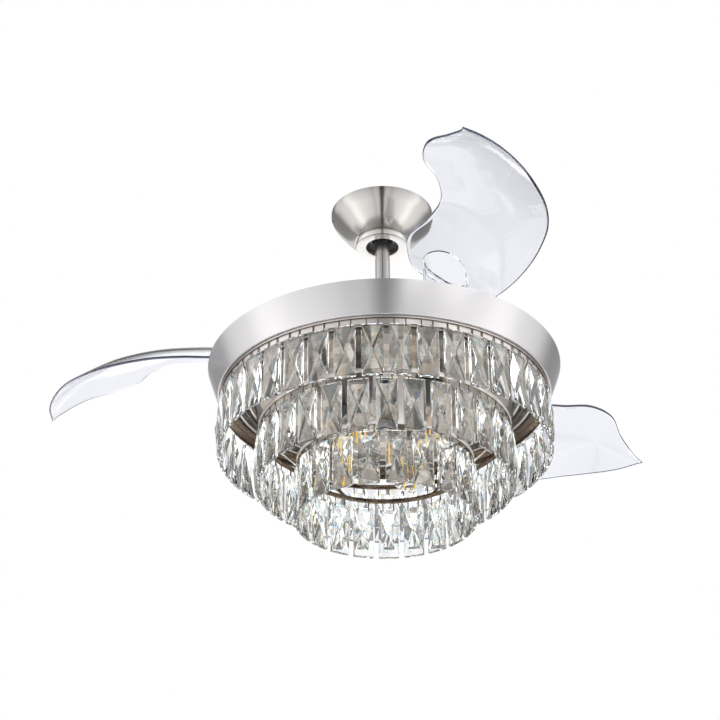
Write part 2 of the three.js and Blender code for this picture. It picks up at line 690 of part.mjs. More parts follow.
/** A row of crystals on wire pins, all hooked over one thin hoop. */
function crystalRow({ radius, count, first, foot }) {
  const top = rim - foot + crystalLength;
  const crystal = crystalBar();
  const t = crystalPinThickness / 2;
  const pins = [1, -1].map((side) => {
    const x = side * crystalPinSpacing / 2;
    return box(x - t, x + t, -t, t, -crystalPinDepth, crystalPinLength - hoopHeight / 2);
  });
  const hung = joined([crystal, ...pins]).translate([0, radius, top]);
  const hoopFoot = top + crystalPinLength - hoopHeight;
  const hoopRadius = radius / Math.cos(Math.PI / count); // flat sides centred on the crystals
  const [hoopIn, hoopOut] = [hoopRadius - hoopThickness / 2, hoopRadius + hoopThickness / 2];
  const hoop = ring(hoopIn, hoopOut, hoopFoot, hoopFoot + hoopHeight, count).rotate([0, 0, first + 180 / count]);
  return joined([hoop, ...evenly(count, first - barAzimuth).map((turn) => hung.rotate([0, 0, turn]))]);
}

const ringFootOf = (row) => rim - row.foot + crystalLength + crystalPinLength + seatGap;

/** Flat strut in the upright plane at an azimuth, between two [radius, height] points. */
function strut(azimuth, from, to) {
  const [run, rise] = [to[0] - from[0], to[1] - from[1]];
  const shape = new THREE.BoxGeometry(Math.hypot(run, rise), strutWidth, strutSheet);
  shape.rotateY(-Math.atan2(rise, run));
  shape.translate((from[0] + to[0]) / 2, 0, (from[1] + to[1]) / 2);
  return toSolid(shape.rotateZ(radians(azimuth)));
}

function hangingStrip({ radius }, foot) {
  return ring(radius - ringSheet / 2, radius + ringSheet / 2, foot, foot + ringHeight, wideSides);
}

/** Struts from the middle of a row's strip up and out to a [radius, height] point. */
function struts({ radius }, foot, reach) {
  const start = [radius, foot + ringHeight / 2];
  return evenly(strutCount, firstStrutAzimuth).map((azimuth) => strut(azimuth, start, reach));
}

/** The second row's ring, on sloping struts that end flush under the pan. */
function middleRing() {
  const foot = ringFootOf(rows[1]);
  const spread = struts(rows[1], foot, [rows[1].radius + panStrutReach, panUnderside + strutSheet]);
  const pan = disc(drumTopRadius, panUnderside - seatGap, panUnderside + strutWidth, smallSides);
  return joined([hangingStrip(rows[1], foot), ...spread]).subtract(pan);
}

/** The third row's ring, on struts from the second row's ring and upright legs from the pan. */
function innerRing() {
  const [outer, row] = rows.slice(1);
  const foot = ringFootOf(row);
  const outerStrip = outer.radius - ringSheet / 2 - seatGap;
  const spread = struts(row, foot, [outer.radius, ringFootOf(outer) + ringHeight / 2]);
  const beyond = ring(outerStrip, drumTopRadius, foot, panUnderside, wideSides);
  const sheet = strutSheet / 2;
  const [low, high] = [foot + sunk, panUnderside - seatGap];
  const leg = box(row.radius - sheet, row.radius + sheet, -strutWidth / 2, strutWidth / 2, low, high);
  const legs = evenly(legCount, firstBladeAzimuth).map((azimuth) => leg.rotate([0, 0, azimuth]));
  return joined([hangingStrip(row, foot), ...spread, ...legs]).subtract(beyond);
}

// ---------------------------------------------------------------- lamps
function lampSocket() {
  const top = panUnderside - seatGap;
  const foot = top - socketHeight;
  return turned([
    [0, top - socketRoof], [socketRadius - socketWall, top - socketRoof], [socketRadius - socketWall, foot],
    [socketRadius, foot], [socketRadius, top], [0, top],
  ], smallSides);
}

/** Screw cap, neck and round clear envelope of one lamp. */
function lamp() {
  const capTop = panUnderside - seatGap - socketRoof - seatGap;
  const capFoot = capTop - lampCapHeight;
  const foot = capTop - lampLength;
  const middle = foot + lampRadius;
  const neckTop = capFoot - lampShoulder;
  const globe = lampLatitudes.map((latitude) => [
    lampRadius * Math.cos(radians(latitude)), middle + lampRadius * Math.sin(radians(latitude)),
  ]);
  return turned([
    [0, foot], ...globe, [lampNeckRadius, neckTop - seatGap], [lampCapRadius, neckTop],
    [lampCapRadius, capTop], [0, capTop],
  ], smallSides);
}

// ---------------------------------------------------------------- assembly
addMesh(fan, 'hanging_bracket', hangingBracket(), zincSteel);
addMesh(fan, 'canopy', canopy(), satinNickel);
addMesh(fan, 'canopy_cover_ring', coverRing(), polishedNickel);
addMesh(fan, 'canopy_screw_1', canopyScrew(1), zincSteel);
addMesh(fan, 'canopy_screw_2', canopyScrew(-1), zincSteel);
addMesh(fan, 'receiver_box', receiver(), boxPlastic);
addMesh(fan, 'hanger_ball', hangerBall(), blackRubber);
addMesh(fan, 'ball_cross_pin', crossPinShape(0), zincSteel);
addMesh(fan, 'downrod', downrod(), satinNickel);
addMesh(fan, 'motor_coupling', motorCoupling(), blackSteel);
addMesh(fan, 'coupling_pin', couplingPinShape(0), zincSteel);
addMesh(fan, 'coupling_set_screw_1', setScrew(1), zincSteel);
addMesh(fan, 'coupling_set_screw_2', setScrew(-1), zincSteel);
addMesh(fan, 'supply_leads', supplyLeads(), leadPlastic);
addMesh(fan, 'motor_shaft', motorShaft(), zincSteel);
addMesh(fan, 'upper_bearing', bearing(upperBearingTop), zincSteel);
addMesh(fan, 'lower_bearing', bearing(lowerBearingTop), zincSteel);
addMesh(fan, 'stator_core', statorCore(), blackSteel);
addMesh(fan, 'upper_winding', winding(1), copper);
addMesh(fan, 'lower_winding', winding(-1), copper);
addMesh(fan, 'magnet_ring', magnetRing(), magnetFinish);
addMesh(fan, 'rotor_top_shell', rotorShell(motorTop, motorTop - topShellHeight, upperBearingTop), blackSteel);
addMesh(fan, 'rotor_bottom_shell', rotorShell(motorFoot, bottomShellTop, lowerBearingTop), blackSteel);
addMesh(fan, 'shaft_nut', shaftNut(), zincSteel);
addMesh(fan, 'blade_carrier', bladeCarrier(), satinNickel);
addMesh(fan, 'drum_band', drumBand(), satinNickel);
addMesh(fan, 'light_pan', lightPan(), polishedNickel);

for (let i = 0; i < bladeCount; i += 1) {
  const group = pivotGroup(i);
  addMesh(group, `blade_${i + 1}`, blade(), clearBlade);
  addMesh(group, `blade_pivot_${i + 1}`, bladePivot(), zincSteel);
  addMesh(group, `blade_spring_${i + 1}`, bladeSpring(), zincSteel);
}

addMesh(fan, 'row_1_ring', hangingStrip(rows[0], ringFootOf(rows[0])), polishedNickel);
addMesh(fan, 'row_2_ring', middleRing(), polishedNickel);
addMesh(fan, 'row_3_ring', innerRing(), polishedNickel);
rows.forEach((row, i) => addMesh(fan, `row_${i + 1}_crystals`, crystalRow(row), crystalGlass));

evenly(lampCount, firstLampAzimuth).forEach((azimuth, i) => {
  const group = new THREE.Group();
  const turn = radians(azimuth);
  group.position.set(lampCircleRadius * Math.cos(turn), lampCircleRadius * Math.sin(turn), 0);
  fan.add(group);
  addMesh(group, `lamp_socket_${i + 1}`, lampSocket(), porcelain);
  addMesh(group, `lamp_${i + 1}`, lamp(), lampGlass);
});

export default fan;
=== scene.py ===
"""Looks of a ceiling fan with three swing-out clear blades and a three-row crystal light.

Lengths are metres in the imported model's frame: Z up, the origin at the ceiling.
"""
import math

import bmesh
import bpy
from mathutils import Matrix, Vector
from mathutils.bvhtree import BVHTree

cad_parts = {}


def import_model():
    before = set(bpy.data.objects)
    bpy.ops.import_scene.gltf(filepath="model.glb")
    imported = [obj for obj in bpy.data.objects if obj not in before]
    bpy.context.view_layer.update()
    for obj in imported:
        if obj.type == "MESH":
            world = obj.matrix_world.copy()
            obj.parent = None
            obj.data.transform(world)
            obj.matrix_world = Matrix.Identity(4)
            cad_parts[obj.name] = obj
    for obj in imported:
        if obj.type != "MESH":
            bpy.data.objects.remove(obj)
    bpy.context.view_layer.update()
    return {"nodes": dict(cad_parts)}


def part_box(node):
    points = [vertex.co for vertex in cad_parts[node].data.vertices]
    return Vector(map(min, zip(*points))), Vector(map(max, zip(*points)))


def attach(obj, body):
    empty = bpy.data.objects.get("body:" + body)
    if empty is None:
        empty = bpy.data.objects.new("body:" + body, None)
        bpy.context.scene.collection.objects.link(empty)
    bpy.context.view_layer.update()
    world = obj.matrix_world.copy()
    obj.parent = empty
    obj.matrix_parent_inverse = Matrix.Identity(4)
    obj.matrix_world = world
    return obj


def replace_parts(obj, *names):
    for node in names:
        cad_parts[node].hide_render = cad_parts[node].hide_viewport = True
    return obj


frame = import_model()
MM = 0.001

# --- camera
CAMERA_PLACE = (-0.0341, -2.1775, -1.5138)
CAMERA_PITCH = math.radians(30.119)
CAMERA_ROLL = math.radians(-0.35)
LENS_MM = 88.07
SENSOR_MM = 36.0
CAMERA_REACH = 50

# --- studio
# The light round the fan that metals reflect: (degrees of azimuth from the front, light).
ENVIRONMENT = (
    (0, 0.08), (4, 0.10), (6.5, 0.72), (14, 0.82), (20, 0.66), (27, 0.85), (60, 1.12), (78, 1.5),
    (86, 1.35), (91, 1.0), (96, 1.08), (110, 0.98), (123, 0.30), (147, 0.38), (152, 1.0), (180, 1.1),
)
LOW_WIDEN = 0.18  # how much further round a direction reads when it points down
LOW_LIFT = 0.3  # how much more light comes from below
# What only light bent by glass sees: degrees off the front view's line, scale, (noise value, colour).
WINDOW_CLEAR = 17
WINDOW_SCALE = 2.6
WINDOW_TONES = (
    (0.0, (0.28, 0.275, 0.28)), (0.40, (0.82, 0.85, 0.91)),
    (0.45, (1.25, 1.25, 1.25)), (0.52, (2.4, 2.38, 2.3)),
)
NEAR_CLEAR = 3.5
NEAR_SCALE = 7.0
NEAR_TONES = ((0.0, (0.92, 0.925, 0.96)), (0.46, (0.98, 0.985, 1.0)), (0.54, (1.06, 1.06, 1.07)))
FLOOR_HALF_SIZE = 6.0
FLOOR_HEIGHT = -2.6
GLASS_BOUNCES = 28

# --- sizes shared with the solids
LARGE_SIDES = 256
SMOOTH_SIDES = 192
MIDDLE_SIDES = 96
SMALL_SIDES = 48
TINY = 1e-7  # closer to the axis than this counts as on it
BLADE_BODIES = ("blade_one", "blade_two", "blade_three")
PIVOT_OUT = 195 * MM
PIVOT_ACROSS = 50 * MM
FIRST_BLADE_AZIMUTH = -80.4
BLADE_SHEET = 3 * MM
BLADE_CAMBER = 0.14
BLADE_ROWS = 110
BLADE_COLUMNS = 30
EDGE_SHARES = (0.0, 0.06, 0.22, 0.5, 1.0)  # of the rounded edge's depth
RIM_STRIPS = 2
POCKET_RADIUS = 30 * MM
POCKET_WALL = 3 * MM
PAD_RISE = 7 * MM
PAD_SHEET = 3 * MM
PAD_CORNER = 1.5 * MM
POCKET_CLEARANCE = 0.2 * MM
POCKET_TOP_DROP = 0.3 * MM  # below the sheet's upper side
PIVOT_BORE = 8.3 * MM
SPRING_WIRE = 1.0 * MM
SPRING_TURNS = 3
LUG_REACH = 37 * MM
LUG_WIDTH = 10 * MM
LUG_HEIGHT = 6 * MM
BLADE_INNER_EDGE = (  # (out, across, up) in mm from the pivot
    (-38, -6, 61), (-27, -36, 70), (7, -53, 72), (50, -59, 73), (91, -43, 72), (134, -34, 73),
    (175, -47, 76), (211, -72, 77), (254, -75, 72), (291, -58, 56), (329, -51, 35), (343, -52, 28),
)
BLADE_OUTER_EDGE = (
    (-38, -6, 61), (-34, 28, 34), (-12, 54, 13), (18, 65, 8), (59, 81, 8), (102, 91, 9),
    (145, 94, 9), (189, 91, 9), (230, 77, 12), (265, 53, 19), (298, 23, 23), (325, -11, 25), (343, -52, 28),
)
CANOPY_PROFILE = (  # (radius, drop) in mm
    (75.5, 0), (75.2, 6), (72, 14), (66.6, 22), (60.6, 30), (54, 38), (47, 45), (40.5, 50),
)
CRYSTAL_LENGTH = 76 * MM
CRYSTAL_WIDTH = 28.4 * MM
CRYSTAL_EDGE = 5 * MM
CRYSTAL_MIDDLE = 14 * MM
CRYSTAL_BEVEL = 0.45 * MM
PIN_SPACING = 15.5 * MM
PIN_RADIUS = 0.75 * MM
PIN_DEPTH = 4 * MM
PIN_TOP_GAP = 0.3 * MM
HOOP_HALF = 0.5 * MM
HOOP_HEIGHT = 0.6 * MM
CRYSTAL_PAINTED_GLINTS = (  # (noise value, colour); the tinted stops are painted rainbow glints
    (0.0, (1.0, 1.0, 0.99)), (0.60, (1.0, 1.0, 0.99)), (0.635, (0.50, 0.66, 1.0)),
    (0.66, (0.62, 1.0, 0.86)), (0.685, (1.0, 0.88, 0.50)), (0.71, (1.0, 0.62, 0.52)),
    (0.74, (1.0, 1.0, 1.0)),
)
PAN_RAMP_REACH = 250 * MM
PAN_TINT = (0.78, 0.71, 0.64)
PAN_SHADE_BANDS = (  # (radius from in mm, tone); the dark tones are painted shade and painted reflections
    (0, 0.85), (98, 0.16), (99.5, 0.80), (112, 0.56), (131, 0.16), (132.5, 0.78), (150, 0.50), (176, 0.22),
    (191, 0.85), (193, 0.06), (199, 0.60), (201, 0.18), (209, 0.85), (211, 0.12), (216, 0.80),
)
PAN_RIBS = (192 * MM, 210 * MM)
ROWS = (  # radius, count, azimuth of the first
    (230 * MM, 40, -85.5),
    (176 * MM, 30, -90.0),
    (122 * MM, 21, 87.5),
)
RING_SHEET = 1.6 * MM
RING_HEIGHT = 6.5 * MM
STRIP_INNER = 2.2 * MM  # the first ring's skirt, inside the row's radius
STRIP_OUTER = 1.2 * MM
STRIP_DROP = 8.2 * MM
STRIP_REACH = 3 * MM  # faces this near the row's radius are the ring's, not a strut's
STRUT_WIDTH = 8 * MM
STRUT_COUNT = 6
FIRST_STRUT_AZIMUTH = 57
PAN_STRUT_REACH = 7 * MM
LEG_COUNT = 3
LEG_INSET = 1 * MM
STRUT_BEVEL = 0.3 * MM
LAMP_COUNT = 4
LAMP_CIRCLE = 72 * MM
FIRST_LAMP_AZIMUTH = 60
LAMP_LENGTH = 104 * MM
LAMP_RADIUS = 29 * MM
LAMP_SHOULDER = (16.5 * MM, 27 * MM)  # radius and height from the globe's middle, as the filaments' ends
LAMP_NECK_RADIUS = 13 * MM
LAMP_GLASS = 0.7 * MM
LAMP_CAP_RADIUS = 13.2 * MM
LAMP_CAP_HEIGHT = 25 * MM
LAMP_CAP_GAP = 4 * MM
CAP_RIDGES = 16
CAP_RIDGE_DEPTH = 0.8 * MM
FILAMENT_COUNT = 4
FILAMENT_RADIUS = 0.95 * MM
FILAMENT_TOP = (7 * MM, 14 * MM)
FILAMENT_END = (11 * MM, -23 * MM)
WIRE_RADIUS = 0.25 * MM
WIRE_TOP = 24 * MM
WIRE_END = -13 * MM
SOCKET_ROOF = 10 * MM
SEAT_GAP = 0.3 * MM


# --- mesh helpers
def rad(degrees):
    return degrees * math.pi / 180


def new_object(name, mesh, material, body):
    """A piece that rides on a body."""
    piece = bpy.data.objects.new(name, mesh)
    bpy.context.scene.collection.objects.link(piece)
    if material:
        mesh.materials.append(material)
    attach(piece, body)
    return piece


def smooth(mesh, angle=30):
    """Smooth shading, with sharp edges where the faces turn by more than the angle."""
    mesh.shade_smooth()
    mesh.set_sharp_from_angle(angle=rad(angle))
    return mesh


def mesh_of(bm, name, angle=30):
    bmesh.ops.recalc_face_normals(bm, faces=bm.faces)
    mesh = bpy.data.meshes.new(name)
    bm.to_mesh(mesh)
    bm.free()
    return smooth(mesh, angle)


def add_turned(bm, profile, sides, centre=(0, 0)):
    """A closed profile of (radius, height) points turned about Z. Points on the axis are welded."""
    x, y = centre
    rings = []
    for i in range(sides):
        a = 2 * math.pi * i / sides
        c, s = math.cos(a), math.sin(a)
        rings.append([bm.verts.new((x + r * c, y + r * s, z)) for r, z in profile])
    count = len(profile)
    for i in range(sides):
        here, there = rings[i], rings[(i + 1) % sides]
        for j in range(count):
            k = (j + 1) % count
            if profile[j][0] < TINY and profile[k][0] < TINY:
                continue
            bm.faces.new((here[j], there[j], there[k], here[k]))
    axis = [v for ring in rings for v, (r, _) in zip(ring, profile) if r < TINY]
    if axis:
        bmesh.ops.remove_doubles(bm, verts=axis, dist=TINY)


def turned_mesh(name, profile, sides=SMOOTH_SIDES, centre=(0, 0), angle=30):
    bm = bmesh.new()
    add_turned(bm, profile, sides, centre)
    return mesh_of(bm, name, angle)


def turned_piece(name, profile, sides, material, body):
    return new_object(name, turned_mesh(name, profile, sides), material, body)


def rounded(profile, radius, steps=4):
    """A closed profile with its corners rounded off by arcs of up to a radius."""
    made = []
    count = len(profile)
    for i in range(count):
        before, here, after = (Vector((*profile[(i + k) % count], 0)) for k in (-1, 0, 1))
        to_before, to_after = before - here, after - here
        reach = min(radius, to_before.length * 0.45, to_after.length * 0.45)
        straight = to_before.angle(to_after, math.pi) > rad(160)
        if straight or here.x < TINY:
            made.append((here.x, here.y))
            continue
        start, end = here + to_before.normalized() * reach, here + to_after.normalized() * reach
        for k in range(steps + 1):
            t = k / steps
            p = start.lerp(here, t).lerp(here.lerp(end, t), t)
            made.append((max(p.x, 0), p.y))
    return made


def add_box(bm, size, matrix, bevel):
    """A bar with rounded edges."""
    made = bmesh.ops.create_cube(bm, size=1.0, matrix=matrix @ Matrix.Diagonal((*size, 1)))
    edges = list({e for v in made["verts"] for e in v.link_edges})
    bmesh.ops.bevel(bm, geom=edges, offset=bevel, segments=2, affect="EDGES", clamp_overlap=True)


def add_tube(bm, points, radius, sides=10):
    """A round wire through a list of points, with flat ends."""
    points = [Vector(p) for p in points]
    rings = []
    side = None
    for i, p in enumerate(points):
        ahead = points[min(i + 1, len(points) - 1)] - points[max(i - 1, 0)]
        ahead.normalize()
        if side is None:
            side = ahead.orthogonal().normalized()
        side = (side - ahead * side.dot(ahead)).normalized()
        other = ahead.cross(side)
        rings.append([
            bm.verts.new(p + radius * (math.cos(a) * side + math.sin(a) * other))
            for a in (2 * math.pi * k / sides for k in range(sides))
        ])
    for here, there in zip(rings, rings[1:]):
        for k in range(sides):
            n = (k + 1) % sides
            bm.faces.new((here[k], here[n], there[n], there[k]))
    bm.faces.new(rings[0][::-1])
    bm.faces.new(rings[-1])


# --- material helpers
def set_sockets(node, **sockets):
    for socket, value in sockets.items():
        node.inputs[socket.replace("_", " ")].default_value = value


def shader(name, colour, **sockets):
    """A new material and its Principled shader."""
    material = bpy.data.materials.new(name)
    material.use_nodes = True
    bsdf = material.node_tree.nodes["Principled BSDF"]
    set_sockets(bsdf, Base_Color=(*colour, 1), **sockets)
    return material, material.node_tree, bsdf


def math_node(tree, operation, a, b=None):
    """The value of a Math node. An input is a number or a node's output."""
    node = tree.nodes.new("ShaderNodeMath")
    node.operation = operation
    for slot, value in enumerate((a, b)):
        if value is None:
            continue
        if isinstance(value, (int, float)):
            node.inputs[slot].default_value = value
        else:
            tree.links.new(value, node.inputs[slot])
    return node.outputs[0]


def noise(tree, vector, scale, detail=3.0):
    """A noise value over a vector."""
    node = tree.nodes.new("ShaderNodeTexNoise")
    set_sockets(node, Scale=scale, Detail=detail)
    tree.links.new(vector, node.inputs["Vector"])
    return node.outputs["Fac"]


def mapped(tree, value, low_value, high_value, from_low=0.0, from_high=1.0):
    """A value carried from one range to another, and held within it."""
    node = tree.nodes.new("ShaderNodeMapRange")
    tree.links.new(value, node.inputs["Value"])
    set_sockets(node, From_Min=from_low, From_Max=from_high, To_Min=low_value, To_Max=high_value)
    return node.outputs["Result"]


def bump(tree, bsdf, height, strength, distance=0.0002):
    """Relief on a shader, from a height value."""
    node = tree.nodes.new("ShaderNodeBump")
    set_sockets(node, Strength=strength, Distance=distance)
    tree.links.new(height, node.inputs["Height"])
    tree.links.new(node.outputs["Normal"], bsdf.inputs["Normal"])


def colour_steps(tree, value, stops, interpolation="LINEAR"):
    """A colour ramp over a value, from (place, colour) stops."""
    node = tree.nodes.new("ShaderNodeValToRGB")
    tree.links.new(value, node.inputs[0])
    ramp = node.color_ramp
    ramp.interpolation = interpolation
    ramp.elements.remove(ramp.elements[-1])
    for k, (place, colour) in enumerate(stops):
        element = ramp.elements[0] if k == 0 else ramp.elements.new(place)
        element.position = place
        element.color = (*colour, 1)
    return node.outputs[0]


def object_place(tree):
    return tree.nodes.new("ShaderNodeTexCoord").outputs["Object"]


def parts_of(tree, vector):
    apart = tree.nodes.new("ShaderNodeSeparateXYZ")
    tree.links.new(vector, apart.inputs[0])
    return apart.outputs


def axis_distance(tree, x, y):
    """The distance from the Z axis."""
    squares = math_node(tree, "ADD", math_node(tree, "MULTIPLY", x, x), math_node(tree, "MULTIPLY", y, y))
    return math_node(tree, "SQRT", squares)


def mixed(tree, factor, first, second, blend="MIX"):
    """Two colours mixed. An input is a value or a node's output."""
    node = tree.nodes.new("ShaderNodeMix")
    node.data_type = "RGBA"
    node.blend_type = blend
    for socket, value in (("Factor", factor), ("A", first), ("B", second)):
        if isinstance(value, float):
            node.inputs[socket].default_value = value
        elif isinstance(value, tuple):
            node.inputs[socket].default_value = (*value, 1)
        else:
            tree.links.new(value, node.inputs[socket])
    return node.outputs["Result"]


def turning_streaks(tree, around=1.5, across=1100.0):
    """Streaks that run round the Z axis, as a spun and brushed sheet has."""
    x, y, z = parts_of(tree, object_place(tree))
    angle = math_node(tree, "ARCTAN2", y, x)
    radius = axis_distance(tree, x, y)
    together = tree.nodes.new("ShaderNodeCombineXYZ")
    tree.links.new(math_node(tree, "MULTIPLY", angle, around), together.inputs[0])
    tree.links.new(math_node(tree, "MULTIPLY", radius, across), together.inputs[1])
    tree.links.new(math_node(tree, "MULTIPLY", z, across), together.inputs[2])
    return noise(tree, together.outputs[0], 1.0, 2.0)


def roughness_between(tree, bsdf, value, smoothest, roughest):
    tree.links.new(mapped(tree, value, smoothest, roughest), bsdf.inputs["Roughness"])


def colour_between(tree, bsdf, factor, dark, light):
    """A shader's base colour that goes from one colour to another."""
    tree.links.new(mixed(tree, factor, dark, light), bsdf.inputs["Base Color"])


# --- materials
def satin_nickel(name, colour, roughness=0.17):
    """Nickel brushed round the Z axis."""
    material, tree, bsdf = shader(name, colour, Metallic=1.0, Anisotropic=0.85, Anisotropic_Rotation=0.25)
    tangent = tree.nodes.new("ShaderNodeTangent")
    tangent.direction_type = "RADIAL"
    tangent.axis = "Z"
    tree.links.new(tangent.outputs[0], bsdf.inputs["Tangent"])
    streaks = turning_streaks(tree)
    roughness_between(tree, bsdf, streaks, roughness - 0.05, roughness + 0.05)
    colour_between(tree, bsdf, streaks, tuple(0.95 * c for c in colour), colour)
    bump(tree, bsdf, streaks, 0.06, 0.00005)
    return material


def pan_with_painted_shade_bands():
    """A spun pan with pressed ribs, coloured in bands by the distance from the axis: the dark bands are
    painted shade and painted reflections.
    """
    material = satin_nickel("polished_nickel_pan_painted_shade", (0.62, 0.57, 0.51), 0.22)
    tree = material.node_tree
    bsdf = tree.nodes["Principled BSDF"]
    x, y, _ = parts_of(tree, object_place(tree))
    share = math_node(tree, "MULTIPLY", axis_distance(tree, x, y), 1 / PAN_RAMP_REACH)
    stops = [(r * MM / PAN_RAMP_REACH, tuple(tone * t for t in PAN_TINT)) for r, tone in PAN_SHADE_BANDS]
    # Painted shade and painted reflections: the band tones times the pan's tint.
    tree.links.new(colour_steps(tree, share, stops, "CONSTANT"), bsdf.inputs["Base Color"])
    return material


def polished_nickel(name, colour, roughness=0.10):
    """Polished plate with a slight cloudiness."""
    material, tree, bsdf = shader(name, colour, Metallic=1.0)
    soft = noise(tree, object_place(tree), 35.0)
    roughness_between(tree, bsdf, soft, roughness * 0.7, roughness * 1.4)
    colour_between(tree, bsdf, soft, tuple(0.93 * c for c in colour), colour)
    return material


def plated_steel():
    """Zinc plate with a spangled grain."""
    material, tree, bsdf = shader("zinc_plate", (0.5, 0.51, 0.53), Metallic=1.0)
    grain = noise(tree, object_place(tree), 160.0)
    roughness_between(tree, bsdf, grain, 0.25, 0.5)
    colour_between(tree, bsdf, grain, (0.40, 0.41, 0.43), (0.60, 0.61, 0.62))
    bump(tree, bsdf, grain, 0.15)
    return material


def enamel(name, dark, light, smoothest=0.3, roughest=0.45):
    """Enamel or moulded plastic with a fine grain."""
    material, tree, bsdf = shader(name, light)
    grain = noise(tree, object_place(tree), 420.0)
    roughness_between(tree, bsdf, grain, smoothest, roughest)
    colour_between(tree, bsdf, grain, dark, light)
    bump(tree, bsdf, grain, 0.12)
    return material


def cut_glass():
    """Lead crystal: clear, with faint painted rainbow glints where light split by the glass would show."""
    material, tree, bsdf = shader("cut_crystal", (1, 1, 1), Roughness=0.0, IOR=1.6)
    set_sockets(bsdf, Transmission_Weight=1.0)
    glint_patches = noise(tree, object_place(tree), 70.0, 1.0)
    tree.links.new(colour_steps(tree, glint_patches, CRYSTAL_PAINTED_GLINTS), bsdf.inputs["Base Color"])
    roughness_between(tree, bsdf, glint_patches, 0.0, 0.006)
    return material


def clear_sheet(name, index, colour=(0.95, 0.957, 0.98)):
    """Clear moulded plastic with a faint flow pattern."""
    material, tree, bsdf = shader(name, colour, Roughness=0.0, IOR=index)
    set_sockets(bsdf, Transmission_Weight=1.0)
    faint = noise(tree, object_place(tree), 9.0, 1.0)
    roughness_between(tree, bsdf, faint, 0.0, 0.006)
    return material


def sheet_rim():
    """The polished edge of a clear sheet: it gathers the sheet's colour, most of all at the tip."""
    material, tree, bsdf = shader("clear_blade_rim", (0.13, 0.14, 0.30), Roughness=0.25, IOR=1.49)
    set_sockets(bsdf, Transmission_Weight=0.5)
    length = tree.nodes.new("ShaderNodeVectorMath")
    length.operation = "LENGTH"
    tree.links.new(object_place(tree), length.inputs[0])
    faint = math_node(tree, "MULTIPLY", noise(tree, object_place(tree), 25.0), 0.2)
    out = mapped(tree, length.outputs["Value"], 0.0, 0.9, 0.36, 0.56)
    colour_between(tree, bsdf, math_node(tree, "ADD", out, faint), (0.50, 0.52, 0.74), (0.09, 0.11, 0.38))
    return material


def lamp_glass():
    """Thin clear glass of a lamp."""
    material, tree, bsdf = shader("lamp_glass_clear", (0.99, 0.98, 0.96), Roughness=0.0, IOR=1.45)
    set_sockets(bsdf, Transmission_Weight=1.0)
    faint = noise(tree, object_place(tree), 40.0)
    roughness_between(tree, bsdf, faint, 0.0, 0.02)
    return material


def filament_yellow():
    """A lamp's yellow coated filament, faintly lit."""
    material, tree, bsdf = shader("lamp_filament", (0.95, 0.60, 0.05), Roughness=0.5)
    set_sockets(bsdf, Emission_Color=(1.0, 0.62, 0.06, 1), Emission_Strength=0.9)
    grain = noise(tree, object_place(tree), 900.0)
    colour_between(tree, bsdf, grain, (0.85, 0.48, 0.03), (0.98, 0.66, 0.08))
    return material


def copper_wire():
    """Enamelled copper wire, wound round the axis."""
    material, tree, bsdf = shader("winding_copper", (0.55, 0.22, 0.08), Metallic=0.9, Roughness=0.35)
    streaks = turning_streaks(tree, 2.0, 1500.0)
    colour_between(tree, bsdf, streaks, (0.36, 0.12, 0.04), (0.62, 0.27, 0.10))
    bump(tree, bsdf, streaks, 0.5)
    return material


# The drum's satin nickel darkened as painted shade, for the canopy's dimmer light; the canopy screws and
# blade carrier share it.
SATIN_PAINTED_SHADE = satin_nickel("satin_nickel_brushed", (0.62, 0.602, 0.578))
DRUM_METAL = satin_nickel("satin_nickel_drum", (0.79, 0.775, 0.785), 0.36)
ROD_METAL = satin_nickel("satin_nickel_rod", (0.56, 0.54, 0.53), 0.24)
POLISHED = polished_nickel("polished_nickel_ring", (0.72, 0.68, 0.64))
COVER_METAL = polished_nickel("polished_nickel_cover", (0.86, 0.84, 0.82), 0.22)
PAN_METAL = pan_with_painted_shade_bands()
# Lit and shaded copies of the rings' polished nickel: the light one is painted light, the dark one painted
# shade.
STRIP_METAL_PAINTED_LIGHT = satin_nickel("polished_nickel_strip_painted_light", (0.88, 0.83, 0.82), 0.4)
RING_METAL_PAINTED_SHADE = polished_nickel("polished_nickel_painted_shade", (0.34, 0.28, 0.23), 0.14)
PIN_METAL = polished_nickel("polished_nickel_pins", (0.16, 0.12, 0.07), 0.2)
ZINC = plated_steel()
BLACK = enamel("black_enamel", (0.010, 0.010, 0.012), (0.026, 0.026, 0.030))
RUBBER = enamel("black_moulding", (0.006, 0.006, 0.007), (0.018, 0.018, 0.020), 0.35, 0.6)
PORCELAIN = enamel("socket_moulding", (0.70, 0.69, 0.65), (0.82, 0.81, 0.77), 0.3, 0.4)
LEAD = enamel("lead_sleeve", (0.01, 0.01, 0.01), (0.03, 0.03, 0.03), 0.5, 0.6)
MAGNET = enamel("magnet_black", (0.04, 0.04, 0.045), (0.09, 0.09, 0.095), 0.45, 0.6)
COPPER = copper_wire()
CRYSTAL = cut_glass()
CLEAR = clear_sheet("clear_blade_sheet", 1.49)
POCKET = clear_sheet("clear_blade_pocket", 1.05, (0.96, 0.97, 0.99))
RIM = sheet_rim()
BULB = lamp_glass()
FILAMENT = filament_yellow()
BLADE_MATERIALS = (CLEAR, RIM)


# --- heights read from the solids
def low(node):
    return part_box(node)[0].z


def high(node):
    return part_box(node)[1].z


RIM_Z = high("drum_band")
DRUM_FOOT = low("drum_band")
DRUM_TOP_RADIUS = 250 * MM
DRUM_BOTTOM_RADIUS = 234.8 * MM
PAN_RIB_DEPTH = 2 * MM
PAN_UNDERSIDE = low("light_pan") + PAN_RIB_DEPTH
BALL_RADIUS = 22 * MM
BALL_MIDDLE = -30.836 * MM


def drum_radius(z):
    """The drum's outer radius at a height."""
    widening = DRUM_TOP_RADIUS - DRUM_BOTTOM_RADIUS
    return DRUM_BOTTOM_RADIUS + widening * (z - DRUM_FOOT) / (RIM_Z - DRUM_FOOT)


